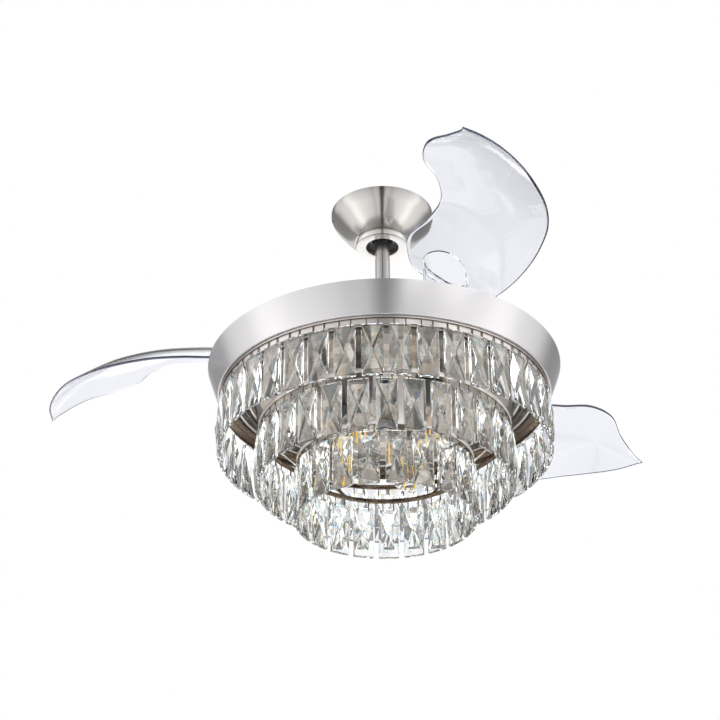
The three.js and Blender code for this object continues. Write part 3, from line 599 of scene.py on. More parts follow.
# --- canopy, ball and rod
def spline_profile(points, steps=6):
    """Smooth (radius, height) points through the given ones."""
    made = []
    count = len(points)
    for i in range(count - 1):
        p = [Vector(points[min(max(i + k, 0), count - 1)]) for k in (-1, 0, 1, 2)]
        for k in range(steps):
            t = k / steps
            q = 0.5 * (2 * p[1] + (p[2] - p[0]) * t + (2 * p[0] - 5 * p[1] + 4 * p[2] - p[3]) * t * t
                       + (3 * p[1] - p[0] - 3 * p[2] + p[3]) * t ** 3)
            made.append((q.x, q.y))
    made.append(tuple(points[-1]))
    return made


def canopy():
    """The bowl: satin outside, darkened as painted shade, and black inside, also painted shade, with a lip
    turned in at its foot.
    """
    wall, lip = 1.2 * MM, 7 * MM
    outer = spline_profile([(r * MM, -drop * MM) for r, drop in CANOPY_PROFILE])
    foot_radius, foot = outer[-1]
    inner = [(r - wall, min(z + wall * 0.3, 0)) for r, z in outer[:-2]][::-1]
    lip_radius = foot_radius - lip
    turn_in = [(lip_radius, foot), (lip_radius, foot + wall), (foot_radius - 2 * wall, foot + wall)]
    mesh = turned_mesh("canopy_bowl", outer + turn_in + inner, angle=50)
    mesh.materials.append(SATIN_PAINTED_SHADE)
    # Black enamel on the inside faces: painted shade.
    mesh.materials.append(BLACK)
    for face in mesh.polygons:
        middle = face.center
        faces_in_painted_shade = face.normal.xy.dot(middle.xy) < -0.2 * middle.xy.length
        face.material_index = int(faces_in_painted_shade)
    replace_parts(new_object("canopy_bowl", mesh, None, "mount"), "canopy")


def canopy_screws():
    """Low domed heads that hold the canopy's skirt to the bracket."""
    for index, side in enumerate((1, -1)):
        node = f"canopy_screw_{index + 1}"
        lowest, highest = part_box(node)
        middle_z = (lowest.z + highest.z) / 2
        seat = (CANOPY_PROFILE[1][0] - 0.9) * MM
        radius = (highest.z - lowest.z) / 2
        shank, shank_end = 1.9 * MM, min(abs(lowest.x), abs(highest.x)) - seat
        edge, crown, slot_foot = 0.6 * MM, 0.9 * MM, 0.4 * MM
        profile = [
            (0, shank_end), (shank, shank_end), (shank, 0), (radius, 0), (radius * 0.8, edge),
            (radius * 0.4, crown), (radius * 0.15, crown), (radius * 0.15, slot_foot), (0, slot_foot),
        ]
        name = f"canopy_screw_head_{index + 1}"
        mesh = turned_mesh(name, profile, SMALL_SIDES)
        turn = Matrix.Rotation(math.pi / 2 * side, 4, "Y")
        mesh.transform(Matrix.Translation((seat * side, 0, middle_z)) @ turn)
        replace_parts(new_object(name, mesh, SATIN_PAINTED_SHADE, "mount"), node)


def cover_ring():
    """The pressed ring round the rod's hole."""
    bottom, top = low("canopy_cover_ring"), high("canopy_cover_ring")
    hole, outer, wall = 24 * MM, 38.6 * MM, 1.6 * MM
    profile = rounded([
        (hole, bottom), (outer, bottom), (outer, top), (outer - wall, top), (outer - wall, bottom + wall),
        (hole, bottom + wall),
    ], 1.5 * MM)
    piece = turned_piece("cover_ring_pressing", profile, SMOOTH_SIDES, COVER_METAL, "mount")
    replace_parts(piece, "canopy_cover_ring")


def ball():
    """The hanger ball, cut flat above and below."""
    bore, cut_top, cut_foot = 10.95 * MM, 9 * MM, 18 * MM
    start, end = -math.asin(cut_foot / BALL_RADIUS), math.asin(cut_top / BALL_RADIUS)
    steps = 24
    arc = [start + (end - start) * i / steps for i in range(steps + 1)]
    profile = [(BALL_RADIUS * math.cos(a), BALL_MIDDLE + BALL_RADIUS * math.sin(a)) for a in arc]
    profile += [(bore, profile[-1][1]), (bore, profile[0][1])]
    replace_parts(turned_piece("ball_moulding", profile, MIDDLE_SIDES, RUBBER, "hanger"), "hanger_ball")


def rod():
    """The downrod: a plain pipe."""
    bore, outer = 8 * MM, 10.65 * MM
    top, foot = high("downrod"), low("downrod")
    profile = rounded([(bore, foot), (outer, foot), (outer, top), (bore, top)], 0.6 * MM)
    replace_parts(turned_piece("rod_tube", profile, MIDDLE_SIDES, ROD_METAL, "hanger"), "downrod")


def coupling():
    """The sleeve that joins the rod to the motor's shaft."""
    top, foot = high("motor_coupling"), low("motor_coupling")
    bore, shaft, sleeve, flange, flange_thick = (v * MM for v in (10.95, 11.3, 16, 30, 5))
    rod_socket, step_foot = 21 * MM, 26 * MM
    profile = rounded([
        (shaft, foot), (flange, foot), (flange, foot + flange_thick), (sleeve, foot + flange_thick),
        (sleeve, top), (bore, top), (bore, top - rod_socket), (shaft, top - step_foot),
    ], 0.8 * MM)
    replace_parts(turned_piece("coupling_sleeve", profile, MIDDLE_SIDES, BLACK, "hanger"), "motor_coupling")


# --- drum and light pan
def drum():
    """The tapered band, with a lip turned in at its foot."""
    wall, lip, lip_thick = 1.5 * MM, 2.5 * MM, 1.2 * MM
    profile = rounded([
        (DRUM_BOTTOM_RADIUS - lip, DRUM_FOOT), (DRUM_BOTTOM_RADIUS, DRUM_FOOT), (DRUM_TOP_RADIUS, RIM_Z),
        (DRUM_TOP_RADIUS - wall, RIM_Z), (drum_radius(DRUM_FOOT + lip_thick) - wall, DRUM_FOOT + lip_thick),
        (DRUM_BOTTOM_RADIUS - lip, DRUM_FOOT + lip_thick),
    ], 1.0 * MM)
    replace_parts(turned_piece("drum_shell", profile, LARGE_SIDES, DRUM_METAL, "hanger"), "drum_band")


def pan():
    """The spun pan, with two pressed ribs and a flange turned up at its edge."""
    sheet, bore, rib_width, flange = 2 * MM, 11.3 * MM, 8 * MM, 14 * MM
    inset = 1.8 * MM
    rib_foot = PAN_UNDERSIDE - PAN_RIB_DEPTH
    ribs = []
    for r in PAN_RIBS:
        ribs += [(r, PAN_UNDERSIDE), (r + PAN_RIB_DEPTH, rib_foot)]
        ribs += [(r + rib_width - PAN_RIB_DEPTH, rib_foot), (r + rib_width, PAN_UNDERSIDE)]
    top, flange_top = PAN_UNDERSIDE + sheet, PAN_UNDERSIDE + flange
    profile = [
        (bore, PAN_UNDERSIDE), *ribs, (drum_radius(PAN_UNDERSIDE) - inset, PAN_UNDERSIDE),
        (drum_radius(flange_top) - inset, flange_top), (drum_radius(flange_top) - inset - sheet, flange_top),
        (drum_radius(top) - inset - sheet, top), (bore, top),
    ]
    piece = turned_piece("pan_sheet", rounded(profile, 1.0 * MM, 3), LARGE_SIDES, PAN_METAL, "hanger")
    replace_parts(piece, "light_pan")


# --- rings, struts and crystals
def upright(azimuth, radius, z):
    """A place on a circle, with local X outward, Y along the circle and Z up."""
    return Matrix.Rotation(rad(azimuth), 4, "Z") @ Matrix.Translation((radius, 0, z))


def add_strut(bm, azimuth, start, end):
    """A flat strut between two (radius, height) points."""
    run, rise = end[0] - start[0], end[1] - start[1]
    place = upright(azimuth, (start[0] + end[0]) / 2, (start[1] + end[1]) / 2)
    place = place @ Matrix.Rotation(-math.atan2(rise, run), 4, "Y")
    add_box(bm, (math.hypot(run, rise), STRUT_WIDTH, RING_SHEET), place, STRUT_BEVEL)


def ring_profile(radius, foot, with_skirt):
    """The section of a strip ring, with a skirt behind the pins where it has one."""
    half, top = RING_SHEET / 2, foot + RING_HEIGHT
    profile = [(radius + half, foot), (radius + half, top), (radius - half, top), (radius - half, foot)]
    if with_skirt:
        inner, step, skirt = radius - STRIP_INNER, radius - STRIP_OUTER, foot - STRIP_DROP
        profile = [*profile[:2], (inner, top), (inner, skirt), (step, skirt), (step, foot)]
    return rounded(profile, 0.4 * MM, 3)


def add_struts(bm, start, end):
    """Sloping struts, evenly spaced round the axis."""
    for k in range(STRUT_COUNT):
        add_strut(bm, FIRST_STRUT_AZIMUTH + k * 360 / STRUT_COUNT, start, end)


def add_legs(bm, radius, foot):
    """Upright legs from a ring to the pan."""
    top = PAN_UNDERSIDE - SEAT_GAP
    for k in range(LEG_COUNT):
        place = upright(FIRST_BLADE_AZIMUTH + k * 360 / LEG_COUNT, radius, (foot + LEG_INSET + top) / 2)
        add_box(bm, (RING_SHEET, STRUT_WIDTH, top - foot - LEG_INSET), place, STRUT_BEVEL)


def hanging_ring(index):
    """A row's ring. The second hangs from the pan by struts, and the third from the second and by legs."""
    radius = ROWS[index][0]
    node = f"row_{index + 1}_ring"
    foot = low(node)
    middle = foot + RING_HEIGHT / 2
    bm = bmesh.new()
    add_turned(bm, ring_profile(radius, foot, index == 0), SMOOTH_SIDES)
    if index == 1:
        add_struts(bm, (radius, middle), (radius + PAN_STRUT_REACH, PAN_UNDERSIDE - SEAT_GAP))
    if index == 2:
        outer_radius = ROWS[1][0] - RING_SHEET / 2 - SEAT_GAP
        add_struts(bm, (radius, middle), (outer_radius, low("row_2_ring") + RING_HEIGHT / 2))
        add_legs(bm, radius, foot)
    name = f"hanging_ring_{index + 1}"
    mesh = mesh_of(bm, name)
    mesh.materials.append(RING_METAL_PAINTED_SHADE)
    mesh.materials.append(STRIP_METAL_PAINTED_LIGHT)
    # Outward faces on the ring take the light copy, all else the dark copy: painted light and painted shade.
    for face in mesh.polygons:
        outward = face.normal.xy.dot(face.center.xy.normalized())
        on_ring = abs(face.center.xy.length - radius) < STRIP_REACH
        face.material_index = int(outward > 0.5 and on_ring)
    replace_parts(new_object(name, mesh, None, "hanger"), node)


def add_crystal(bm, place):
    """One bar: its front and back each rise in four facets, and its edges are bevelled."""
    w, e, m = CRYSTAL_WIDTH / 2, CRYSTAL_EDGE / 2, CRYSTAL_MIDDLE / 2
    corners = [(w, -CRYSTAL_LENGTH), (w, 0), (-w, 0), (-w, -CRYSTAL_LENGTH)]
    front = [bm.verts.new(place @ Vector((-e, x, z))) for x, z in corners]
    back = [bm.verts.new(place @ Vector((e, x, z))) for x, z in corners]
    peaks = [bm.verts.new(place @ Vector((d, 0, -CRYSTAL_LENGTH / 2))) for d in (-m, m)]
    faces = []
    for i in range(4):
        n = (i + 1) % 4
        faces.append(bm.faces.new((front[i], front[n], peaks[0])))
        faces.append(bm.faces.new((back[n], back[i], peaks[1])))
        faces.append(bm.faces.new((front[i], back[i], back[n], front[n])))
    edges = list({edge for face in faces for edge in face.edges})
    bmesh.ops.bevel(bm, geom=edges, offset=CRYSTAL_BEVEL, segments=1, affect="EDGES")


def crystal_row(index):
    """A row's bars, and their pins with the thin hoop that joins them."""
    radius, count, first = ROWS[index]
    node = f"row_{index + 1}_crystals"
    top = low(node) + CRYSTAL_LENGTH
    hoop_top = high(node)
    glass, metal = bmesh.new(), bmesh.new()
    for k in range(count):
        place = upright(first + k * 360 / count, radius, top)
        add_crystal(glass, place)
        for side in (-0.5, 0.5):
            y = side * PIN_SPACING
            pin_top = hoop_top - top - PIN_TOP_GAP
            ends = [place @ Vector((0, y, -PIN_DEPTH)), place @ Vector((0, y, pin_top))]
            add_tube(metal, ends, PIN_RADIUS, 8)
    inner, outer, hoop_foot = radius - HOOP_HALF, radius + HOOP_HALF, hoop_top - HOOP_HEIGHT
    hoop = [(inner, hoop_foot), (outer, hoop_foot), (outer, hoop_top), (inner, hoop_top)]
    add_turned(metal, rounded(hoop, 0.3 * MM, 2), SMOOTH_SIDES)
    name = f"crystal_bars_{index + 1}"
    bars = new_object(name, mesh_of(glass, name, 5), CRYSTAL, "hanger")
    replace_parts(bars, node)
    name = f"crystal_pins_{index + 1}"
    new_object(name, mesh_of(metal, name), PIN_METAL, "hanger")


# --- blades
def curve_points(points, fine=48):
    """Fine points along a centripetal Catmull-Rom curve through the given ones."""
    points = [Vector(p) * MM for p in points]
    ends = [points[0] * 2 - points[1], *points, points[-1] * 2 - points[-2]]
    made = []
    for i in range(len(points) - 1):
        p0, p1, p2, p3 = ends[i:i + 4]
        d0, d1, d2 = ((b - a).length ** 0.5 for a, b in ((p0, p1), (p1, p2), (p2, p3)))
        t1 = ((p1 - p0) / d0 - (p2 - p0) / (d0 + d1) + (p2 - p1) / d1) * d1
        t2 = ((p2 - p1) / d1 - (p3 - p1) / (d1 + d2) + (p3 - p2) / d2) * d1
        for k in range(fine):
            t = k / fine
            made.append(p1 + t1 * t + (-3 * p1 + 3 * p2 - 2 * t1 - t2) * t * t
                        + (2 * p1 - 2 * p2 + t1 + t2) * t ** 3)
    made.append(points[-1])
    return made


def even_points(points, count):
    """The same line as count + 1 points, evenly spaced along its length."""
    lengths = [0.0]
    for a, b in zip(points, points[1:]):
        lengths.append(lengths[-1] + (b - a).length)
    made, j = [], 0
    for i in range(count + 1):
        goal = lengths[-1] * i / count
        while j < len(points) - 2 and lengths[j + 1] < goal:
            j += 1
        span = lengths[j + 1] - lengths[j]
        made.append(points[j].lerp(points[j + 1], (goal - lengths[j]) / span if span else 0))
    return made


def blade_grid():
    """Rows of (middle-surface point, half thickness) from root to tip, rounded at both edges."""
    inner = even_points(curve_points(BLADE_INNER_EDGE), BLADE_ROWS)
    outer = even_points(curve_points(BLADE_OUTER_EDGE), BLADE_ROWS)
    half = BLADE_SHEET / 2
    grid = []
    for a, b in zip(inner, outer):
        chord = max((b - a).length, 1e-5)
        edge = min(half, chord * 0.2)
        shares = [s * edge / chord for s in EDGE_SHARES]
        span = 1 - 2 * shares[-1]
        shares += [shares[-1] + span * k / BLADE_COLUMNS for k in range(1, BLADE_COLUMNS)]
        shares += [1 - s * edge / chord for s in reversed(EDGE_SHARES)]
        line = []
        for u in shares:
            p = a.lerp(b, u)
            p.z += BLADE_CAMBER * chord * math.sin(math.pi * u)
            inward = min(u, 1 - u) * chord / max(edge, 1e-6)
            thick = half * math.sqrt(max(0.0, 1 - (1 - min(inward, 1)) ** 2))
            line.append((p, thick))
        grid.append(line)
    return grid


def slab_mesh(name, grid):
    """A closed slab between the grid's upper side and its lower side."""
    bm = bmesh.new()
    up = [[bm.verts.new(p + Vector((0, 0, t))) for p, t in line] for line in grid]
    down = [[bm.verts.new(p - Vector((0, 0, t))) for p, t in line] for line in grid]
    last_row, last = len(grid) - 1, len(grid[0]) - 1
    for i in range(last_row):
        for j in range(last):
            pair = (
                bm.faces.new((up[i][j], up[i + 1][j], up[i + 1][j + 1], up[i][j + 1])),
                bm.faces.new((down[i][j], down[i][j + 1], down[i + 1][j + 1], down[i + 1][j])),
            )
            for face in pair:
                face.material_index = 1 if j < RIM_STRIPS or j >= last - RIM_STRIPS else 0
        bm.faces.new((up[i][0], down[i][0], down[i + 1][0], up[i + 1][0]))
        bm.faces.new((up[i][last], up[i + 1][last], down[i + 1][last], down[i][last]))
    for i in (0, last_row):
        for j in range(last):
            bm.faces.new((up[i][j], down[i][j], down[i][j + 1], up[i][j + 1]))
    bmesh.ops.remove_doubles(bm, verts=bm.verts, dist=2e-6)
    loose = [f for f in bm.faces if f.calc_area() < 1e-13]
    bmesh.ops.delete(bm, geom=loose, context="FACES_ONLY")
    return mesh_of(bm, name)


def scratch_object(mesh):
    """A temporary object, with the blade's materials."""
    for material in BLADE_MATERIALS:
        mesh.materials.append(material)
    made = bpy.data.objects.new("scratch", mesh)
    bpy.context.scene.collection.objects.link(made)
    return made


def cut_away(mesh, tool_mesh):
    """The mesh with another closed mesh cut out of it."""
    base, tool = scratch_object(mesh), scratch_object(tool_mesh)
    modifier = base.modifiers.new("cut", "BOOLEAN")
    modifier.operation = "DIFFERENCE"
    modifier.solver = "EXACT"
    modifier.object = tool
    bpy.context.view_layer.update()
    made = bpy.data.meshes.new_from_object(base.evaluated_get(bpy.context.evaluated_depsgraph_get()))
    bpy.data.objects.remove(base)
    bpy.data.objects.remove(tool)
    return made


def pocket_mesh(sheet_top):
    """The round pocket: a flat pad with the pivot's hole, and a wall that rises to the sheet."""
    inner = POCKET_RADIUS - POCKET_WALL
    pad_top = PAD_RISE + PAD_SHEET
    bm = bmesh.new()
    rings = []
    for k in range(MIDDLE_SIDES):
        a = 2 * math.pi * k / MIDDLE_SIDES
        c, s = math.cos(a), math.sin(a)
        outer_top = sheet_top(POCKET_RADIUS * c, POCKET_RADIUS * s) - POCKET_TOP_DROP
        inner_top = sheet_top(inner * c, inner * s) - POCKET_TOP_DROP
        profile = [
            (PIVOT_BORE, PAD_RISE), (POCKET_RADIUS - PAD_CORNER, PAD_RISE),
            (POCKET_RADIUS, PAD_RISE + PAD_CORNER), (POCKET_RADIUS, outer_top), (inner, inner_top),
            (inner, pad_top + PAD_CORNER), (inner - PAD_CORNER, pad_top), (PIVOT_BORE, pad_top),
        ]
        rings.append([bm.verts.new((r * c, r * s, z)) for r, z in profile])
    for k in range(MIDDLE_SIDES):
        here, there = rings[k], rings[(k + 1) % MIDDLE_SIDES]
        for j in range(len(here)):
            n = (j + 1) % len(here)
            bm.faces.new((here[j], there[j], there[n], here[n]))
    return mesh_of(bm, "blade_pocket")


def blade_meshes():
    """The cambered sheet with its round opening, and the pocket moulded under the opening."""
    sheet = slab_mesh("blade_sheet", blade_grid())
    tree = BVHTree.FromPolygons([v.co for v in sheet.vertices], [p.vertices[:] for p in sheet.polygons])

    def sheet_top(x, y):
        return tree.ray_cast(Vector((x, y, 1)), Vector((0, 0, -1)))[0].z

    hole_radius, hole_top = POCKET_RADIUS + POCKET_CLEARANCE, 200 * MM
    hole = [(0, 0), (hole_radius, 0), (hole_radius, hole_top), (0, hole_top)]
    opened = smooth(cut_away(sheet, turned_mesh("hole", hole, MIDDLE_SIDES)), 35)
    bm = bmesh.new()
    bm.from_mesh(pocket_mesh(sheet_top))
    lug_middle = ((hole_radius + LUG_REACH) / 2, 0, PAD_RISE + LUG_HEIGHT / 2)
    place = Matrix.Rotation(rad(-90), 4, "Z") @ Matrix.Translation(lug_middle)
    add_box(bm, (LUG_REACH - hole_radius, LUG_WIDTH, LUG_HEIGHT), place, 0.8 * MM)
    return opened, mesh_of(bm, "blade_pocket")


def blade_matrix(index):
    """A blade's place: its pivot at the height of the drum's rim, and local X towards its tip."""
    turn = FIRST_BLADE_AZIMUTH + index * 360 / len(BLADE_BODIES)
    return Matrix.Rotation(rad(turn), 4, "Z") @ Matrix.Translation((PIVOT_OUT, PIVOT_ACROSS, RIM_Z))


def blades():
    """Three blades, each a clear sheet and its pocket."""
    shapes = blade_meshes()
    for index, body in enumerate(BLADE_BODIES):
        for shape, name, material in zip(shapes, ("clear_blade", "blade_pocket"), (None, POCKET)):
            mesh = shape.copy()
            mesh.transform(blade_matrix(index))
            piece = new_object(f"{name}_{index + 1}", mesh, material, body)
            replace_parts(piece, f"blade_{index + 1}")


def pivot_pin(number, place):
    """The headed pin that carries a blade."""
    foot, face, neck, shoulder = -10.6 * MM, -5.6 * MM, 5 * MM, -2.5 * MM
    nut, body, cap, cap_thick = 9 * MM, 8 * MM, 13 * MM, 3 * MM
    head = PAD_RISE + PAD_SHEET + SEAT_GAP
    profile = rounded([
        (0, foot), (nut, foot), (nut, face), (neck, face), (neck, shoulder), (body, shoulder), (body, head),
        (cap, head), (cap, head + cap_thick), (0, head + cap_thick),
    ], 0.7 * MM, 3)
    name = f"pivot_pin_{number}"
    mesh = turned_mesh(name, profile, SMALL_SIDES)
    mesh.transform(place)
    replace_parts(new_object(name, mesh, ZINC, "rotor"), f"blade_pivot_{number}")


def return_spring(number, place):
    """The coil under a blade's pad."""
    steps, start = 24, -2.5 * MM
    coil = PIVOT_BORE + 2.2 * MM
    first, last = start + SPRING_WIRE, PAD_RISE - SEAT_GAP - SPRING_WIRE
    line = []
    for k in range(SPRING_TURNS * steps + 1):
        a = 2 * math.pi * k / steps
        height = first + (last - first) * k / (SPRING_TURNS * steps)
        line.append((coil * math.cos(a), coil * math.sin(a), height))
    bm = bmesh.new()
    add_tube(bm, line, SPRING_WIRE)
    name = f"return_spring_{number}"
    mesh = mesh_of(bm, name)
    mesh.transform(place)
    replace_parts(new_object(name, mesh, ZINC, "rotor"), f"blade_spring_{number}")


def pivots():
    """A pin and a return spring for each blade."""
    for index in range(len(BLADE_BODIES)):
        pivot_pin(index + 1, blade_matrix(index))
        return_spring(index + 1, blade_matrix(index))


# --- motor
def motor_shells():
    """The motor's two pressed cases, which turn with the blades."""
    top, foot = high("rotor_top_shell"), low("rotor_bottom_shell")
    seam = low("rotor_top_shell")
    outer, chamfer, bore, wall = 80 * MM, 8 * MM, 16.5 * MM, 2.5 * MM
    upper = rounded([
        (bore, top), (outer - chamfer, top), (outer, top - chamfer), (outer, seam), (outer - 2 * wall, seam),
        (outer - 2 * wall, top - chamfer), (outer - 2 * chamfer, top - wall), (bore, top - wall),
    ], 2 * MM)
    lower = rounded([
        (bore, foot), (bore, foot + wall), (outer - 2 * chamfer, foot + wall),
        (outer - 2 * wall, foot + chamfer), (outer - 2 * wall, seam - SEAT_GAP), (outer, seam - SEAT_GAP),
        (outer, foot + chamfer), (outer - chamfer, foot),
    ], 2 * MM)
    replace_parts(turned_piece("motor_case_top", upper, SMOOTH_SIDES, BLACK, "rotor"), "rotor_top_shell")
    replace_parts(turned_piece("motor_case_foot", lower, SMOOTH_SIDES, BLACK, "rotor"), "rotor_bottom_shell")


# --- lamps
LAMP_CAP_TOP = PAN_UNDERSIDE - SEAT_GAP - SOCKET_ROOF - SEAT_GAP
LAMP_MIDDLE = LAMP_CAP_TOP - LAMP_LENGTH + LAMP_RADIUS
LAMP_NECK = LAMP_CAP_TOP - LAMP_CAP_HEIGHT - LAMP_CAP_GAP


def lamp_envelope(number, centre):
    """The glass globe and neck, hollow."""
    steps, sweep = 20, 142
    angles = [rad(-90 + sweep * k / steps) for k in range(steps + 1)]
    globe = [(LAMP_RADIUS * math.cos(a), LAMP_MIDDLE + LAMP_RADIUS * math.sin(a)) for a in angles]
    globe[0] = (0, globe[0][1])
    shoulder = (LAMP_SHOULDER[0], LAMP_MIDDLE + LAMP_SHOULDER[1])
    outside = [*globe[:-2], *spline_profile([*globe[-2:], shoulder, (LAMP_NECK_RADIUS, LAMP_NECK)], 5)]
    inside = []
    for r, z in reversed(outside):
        at_foot = r < LAMP_RADIUS * 0.5 and z < LAMP_MIDDLE
        inside.append((max(r - LAMP_GLASS, 0), z + (LAMP_GLASS if at_foot else 0)))
    inside[-1] = (0, inside[-1][1])
    name = f"lamp_envelope_{number}"
    mesh = turned_mesh(name, [*outside, *inside], 64, centre)
    envelope = new_object(name, mesh, BULB, "hanger")
    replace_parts(envelope, f"lamp_{number}")


def lamp_cap(number, centre):
    """The ridged metal cap that screws into the socket."""
    foot, foot_radius, tip_radius = LAMP_NECK - 0.5 * MM, 12.5 * MM, 6 * MM
    ridges = []
    for k in range(CAP_RIDGES):
        depth = CAP_RIDGE_DEPTH if k % 2 else 0
        ridges.append((LAMP_CAP_RADIUS - depth, LAMP_NECK + LAMP_CAP_HEIGHT * k / CAP_RIDGES))
    profile = [(0, foot), (foot_radius, foot), *ridges, (tip_radius, LAMP_CAP_TOP), (0, LAMP_CAP_TOP)]
    name = f"lamp_cap_{number}"
    mesh = turned_mesh(name, profile, SMALL_SIDES, centre, 20)
    new_object(name, mesh, POLISHED, "hanger")


def lamp_stem(number, centre):
    """The glass stem that holds the filaments."""
    tip, waist = LAMP_MIDDLE - 12 * MM, LAMP_MIDDLE + 6 * MM
    profile = [(0, tip), (2.6 * MM, tip), (3.2 * MM, waist), (8 * MM, LAMP_NECK), (0, LAMP_NECK)]
    name = f"lamp_stem_{number}"
    new_object(name, turned_mesh(name, profile, 24, centre), BULB, "hanger")


def lamp_filaments(number, centre):
    """Sloping filaments round the stem, and the wires to them."""
    x, y = centre

    def place(angle, reach, rise):
        return Vector((x + reach * math.cos(angle), y + reach * math.sin(angle), LAMP_MIDDLE + rise))

    filaments, wires = bmesh.new(), bmesh.new()
    for k in range(FILAMENT_COUNT):
        angle = 2 * math.pi * (k + 0.5) / FILAMENT_COUNT + 0.15 * number
        top, end = place(angle, *FILAMENT_TOP), place(angle, *FILAMENT_END)
        add_tube(filaments, [top, end], FILAMENT_RADIUS, 8)
        add_tube(wires, [end, place(0, 0, WIRE_END)], WIRE_RADIUS, 6)
        add_tube(wires, [top, place(0, 0, WIRE_TOP)], WIRE_RADIUS, 6)
    name = f"lamp_filaments_{number}"
    new_object(name, mesh_of(filaments, name), FILAMENT, "hanger")
    name = f"lamp_wires_{number}"
    new_object(name, mesh_of(wires, name), POLISHED, "hanger")


def lamps():
    """Lamps in their sockets, evenly spaced under the pan."""
    for index in range(LAMP_COUNT):
        azimuth = rad(FIRST_LAMP_AZIMUTH + index * 360 / LAMP_COUNT)
        centre = (LAMP_CIRCLE * math.cos(azimuth), LAMP_CIRCLE * math.sin(azimuth))
        for make in (lamp_envelope, lamp_cap, lamp_stem, lamp_filaments, socket):
            make(index + 1, centre)


def socket(number, centre):
    """The moulded socket, slightly waisted."""
    top = PAN_UNDERSIDE - SEAT_GAP
    foot = low(f"lamp_socket_{number}")
    inner, outer, roof_foot = 13.6 * MM, 20 * MM, top - SOCKET_ROOF
    profile = rounded([
        (0, roof_foot), (inner, roof_foot), (inner, foot), (outer - 2 * MM, foot),
        (outer - 1 * MM, foot + 14 * MM), (outer, top - 8 * MM), (outer, top), (0, top),
    ], 1.2 * MM)
    name = f"socket_body_{number}"
    mesh = turned_mesh(name, profile, SMALL_SIDES, centre)
    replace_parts(new_object(name, mesh, PORCELAIN, "hanger"), f"lamp_socket_{number}")


# --- solids that stay
def paint(material, *names):
    """A material for solids that stay as they are."""
    for name in names:
        for slot in frame["nodes"][name].material_slots:
            slot.material = material


def paint_solids():
    paint(ZINC, "hanging_bracket", "ball_cross_pin", "coupling_pin", "coupling_set_screw_1",
          "coupling_set_screw_2", "motor_shaft", "upper_bearing", "lower_bearing", "shaft_nut")
    paint(RUBBER, "receiver_box")
    paint(LEAD, "supply_leads")
    paint(BLACK, "stator_core")
    paint(COPPER, "upper_winding", "lower_winding")
    paint(MAGNET, "magnet_ring")
    paint(SATIN_PAINTED_SHADE, "blade_carrier")


# --- floor, light and camera
def floor():
    """A pale floor that metals don't mirror."""
    bm = bmesh.new()
    bmesh.ops.create_grid(bm, x_segments=1, y_segments=1, size=FLOOR_HALF_SIZE)
    mesh = bpy.data.meshes.new("floor")
    bm.to_mesh(mesh)
    bm.free()
    plane = bpy.data.objects.new("floor", mesh)
    bpy.context.scene.collection.objects.link(plane)
    plane.location = (0, 0, FLOOR_HEIGHT)
    material, _, _ = shader("floor_pale", (0.86, 0.86, 0.86), Roughness=0.8)
    mesh.materials.append(material)
    plane.visible_glossy = False


def metal_light(tree, direction):
    """Light by azimuth, with dark flags, and stronger from below."""
    x, y, z = parts_of(tree, direction)
    round_front = math_node(tree, "ARCTAN2", x, math_node(tree, "MULTIPLY", y, -1.0))
    azimuth = math_node(tree, "ABSOLUTE", round_front)
    widened = math_node(tree, "ADD", math_node(tree, "MULTIPLY", z, -LOW_WIDEN), 1.0)
    share = math_node(tree, "DIVIDE", math_node(tree, "MULTIPLY", azimuth, widened), math.pi)
    stops = [(degrees / 180, (light, light, light)) for degrees, light in ENVIRONMENT]
    lifted = math_node(tree, "ADD", math_node(tree, "MULTIPLY", z, -LOW_LIFT), 1.0)
    return mixed(tree, 1.0, colour_steps(tree, share, stops), lifted, "MULTIPLY")


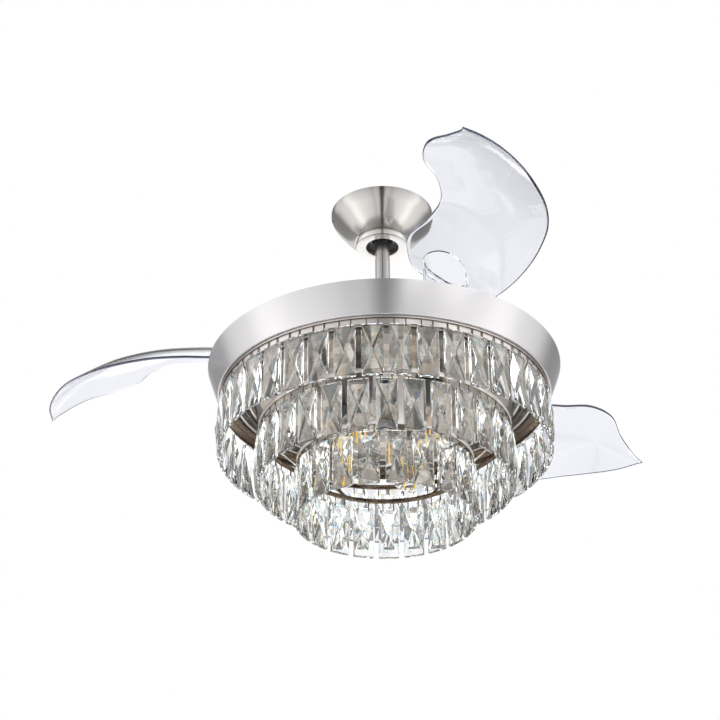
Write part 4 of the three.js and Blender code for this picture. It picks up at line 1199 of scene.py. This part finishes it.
def world():
    """A white studio. Metals see flags and bright sides, and light bent by glass sees windows."""
    studio = bpy.data.worlds.new("studio")
    bpy.context.scene.world = studio
    studio.use_nodes = True
    tree = studio.node_tree
    direction = tree.nodes.new("ShaderNodeTexCoord").outputs["Generated"]
    path = tree.nodes.new("ShaderNodeLightPath").outputs
    front = tree.nodes.new("ShaderNodeVectorMath")
    front.operation = "DOT_PRODUCT"
    tree.links.new(direction, front.inputs[0])
    front.inputs[1].default_value = (0, math.cos(CAMERA_PITCH), math.sin(CAMERA_PITCH))
    far = math_node(tree, "LESS_THAN", front.outputs["Value"], math.cos(rad(WINDOW_CLEAR)))
    near = math_node(tree, "LESS_THAN", front.outputs["Value"], math.cos(rad(NEAR_CLEAR)))
    near_tones = colour_steps(tree, noise(tree, direction, NEAR_SCALE, 0.0), NEAR_TONES, "CONSTANT")
    far_tones = colour_steps(tree, noise(tree, direction, WINDOW_SCALE, 0.0), WINDOW_TONES, "CONSTANT")
    windows = mixed(tree, far, near_tones, far_tones)
    by_glass = math_node(tree, "MULTIPLY", near, path["Is Transmission Ray"])
    bent = mixed(tree, by_glass, metal_light(tree, direction), windows)
    seen = mixed(tree, path["Is Camera Ray"], bent, (1.0, 1.0, 1.0))
    tree.links.new(seen, tree.nodes["Background"].inputs["Color"])


def camera():
    data = bpy.data.cameras.new("camera")
    data.lens = LENS_MM
    data.sensor_width = SENSOR_MM
    data.clip_end = CAMERA_REACH
    made = bpy.data.objects.new("camera", data)
    bpy.context.scene.collection.objects.link(made)
    tilt = Matrix.Rotation(math.pi / 2 + CAMERA_PITCH, 4, "X") @ Matrix.Rotation(CAMERA_ROLL, 4, "Z")
    made.matrix_world = Matrix.Translation(CAMERA_PLACE) @ tilt
    bpy.context.scene.camera = made


def render_settings():
    """Plain colours, and enough bounces to see through three rows of glass."""
    scene = bpy.context.scene
    scene.view_settings.view_transform = "Standard"
    scene.view_settings.look = "None"
    scene.cycles.max_bounces = GLASS_BOUNCES
    scene.cycles.transmission_bounces = GLASS_BOUNCES
    scene.cycles.glossy_bounces = 8
    scene.cycles.transparent_max_bounces = 16
    scene.cycles.caustics_reflective = False
    scene.cycles.caustics_refractive = False
    scene.cycles.sample_clamp_indirect = 6.0


camera()
world()
floor()
canopy()
canopy_screws()
cover_ring()
ball()
rod()
coupling()
drum()
pan()
for row in range(len(ROWS)):
    hanging_ring(row)
    crystal_row(row)
blades()
pivots()
motor_shells()
lamps()
paint_solids()
render_settings()

bpy.context.view_layer.update()
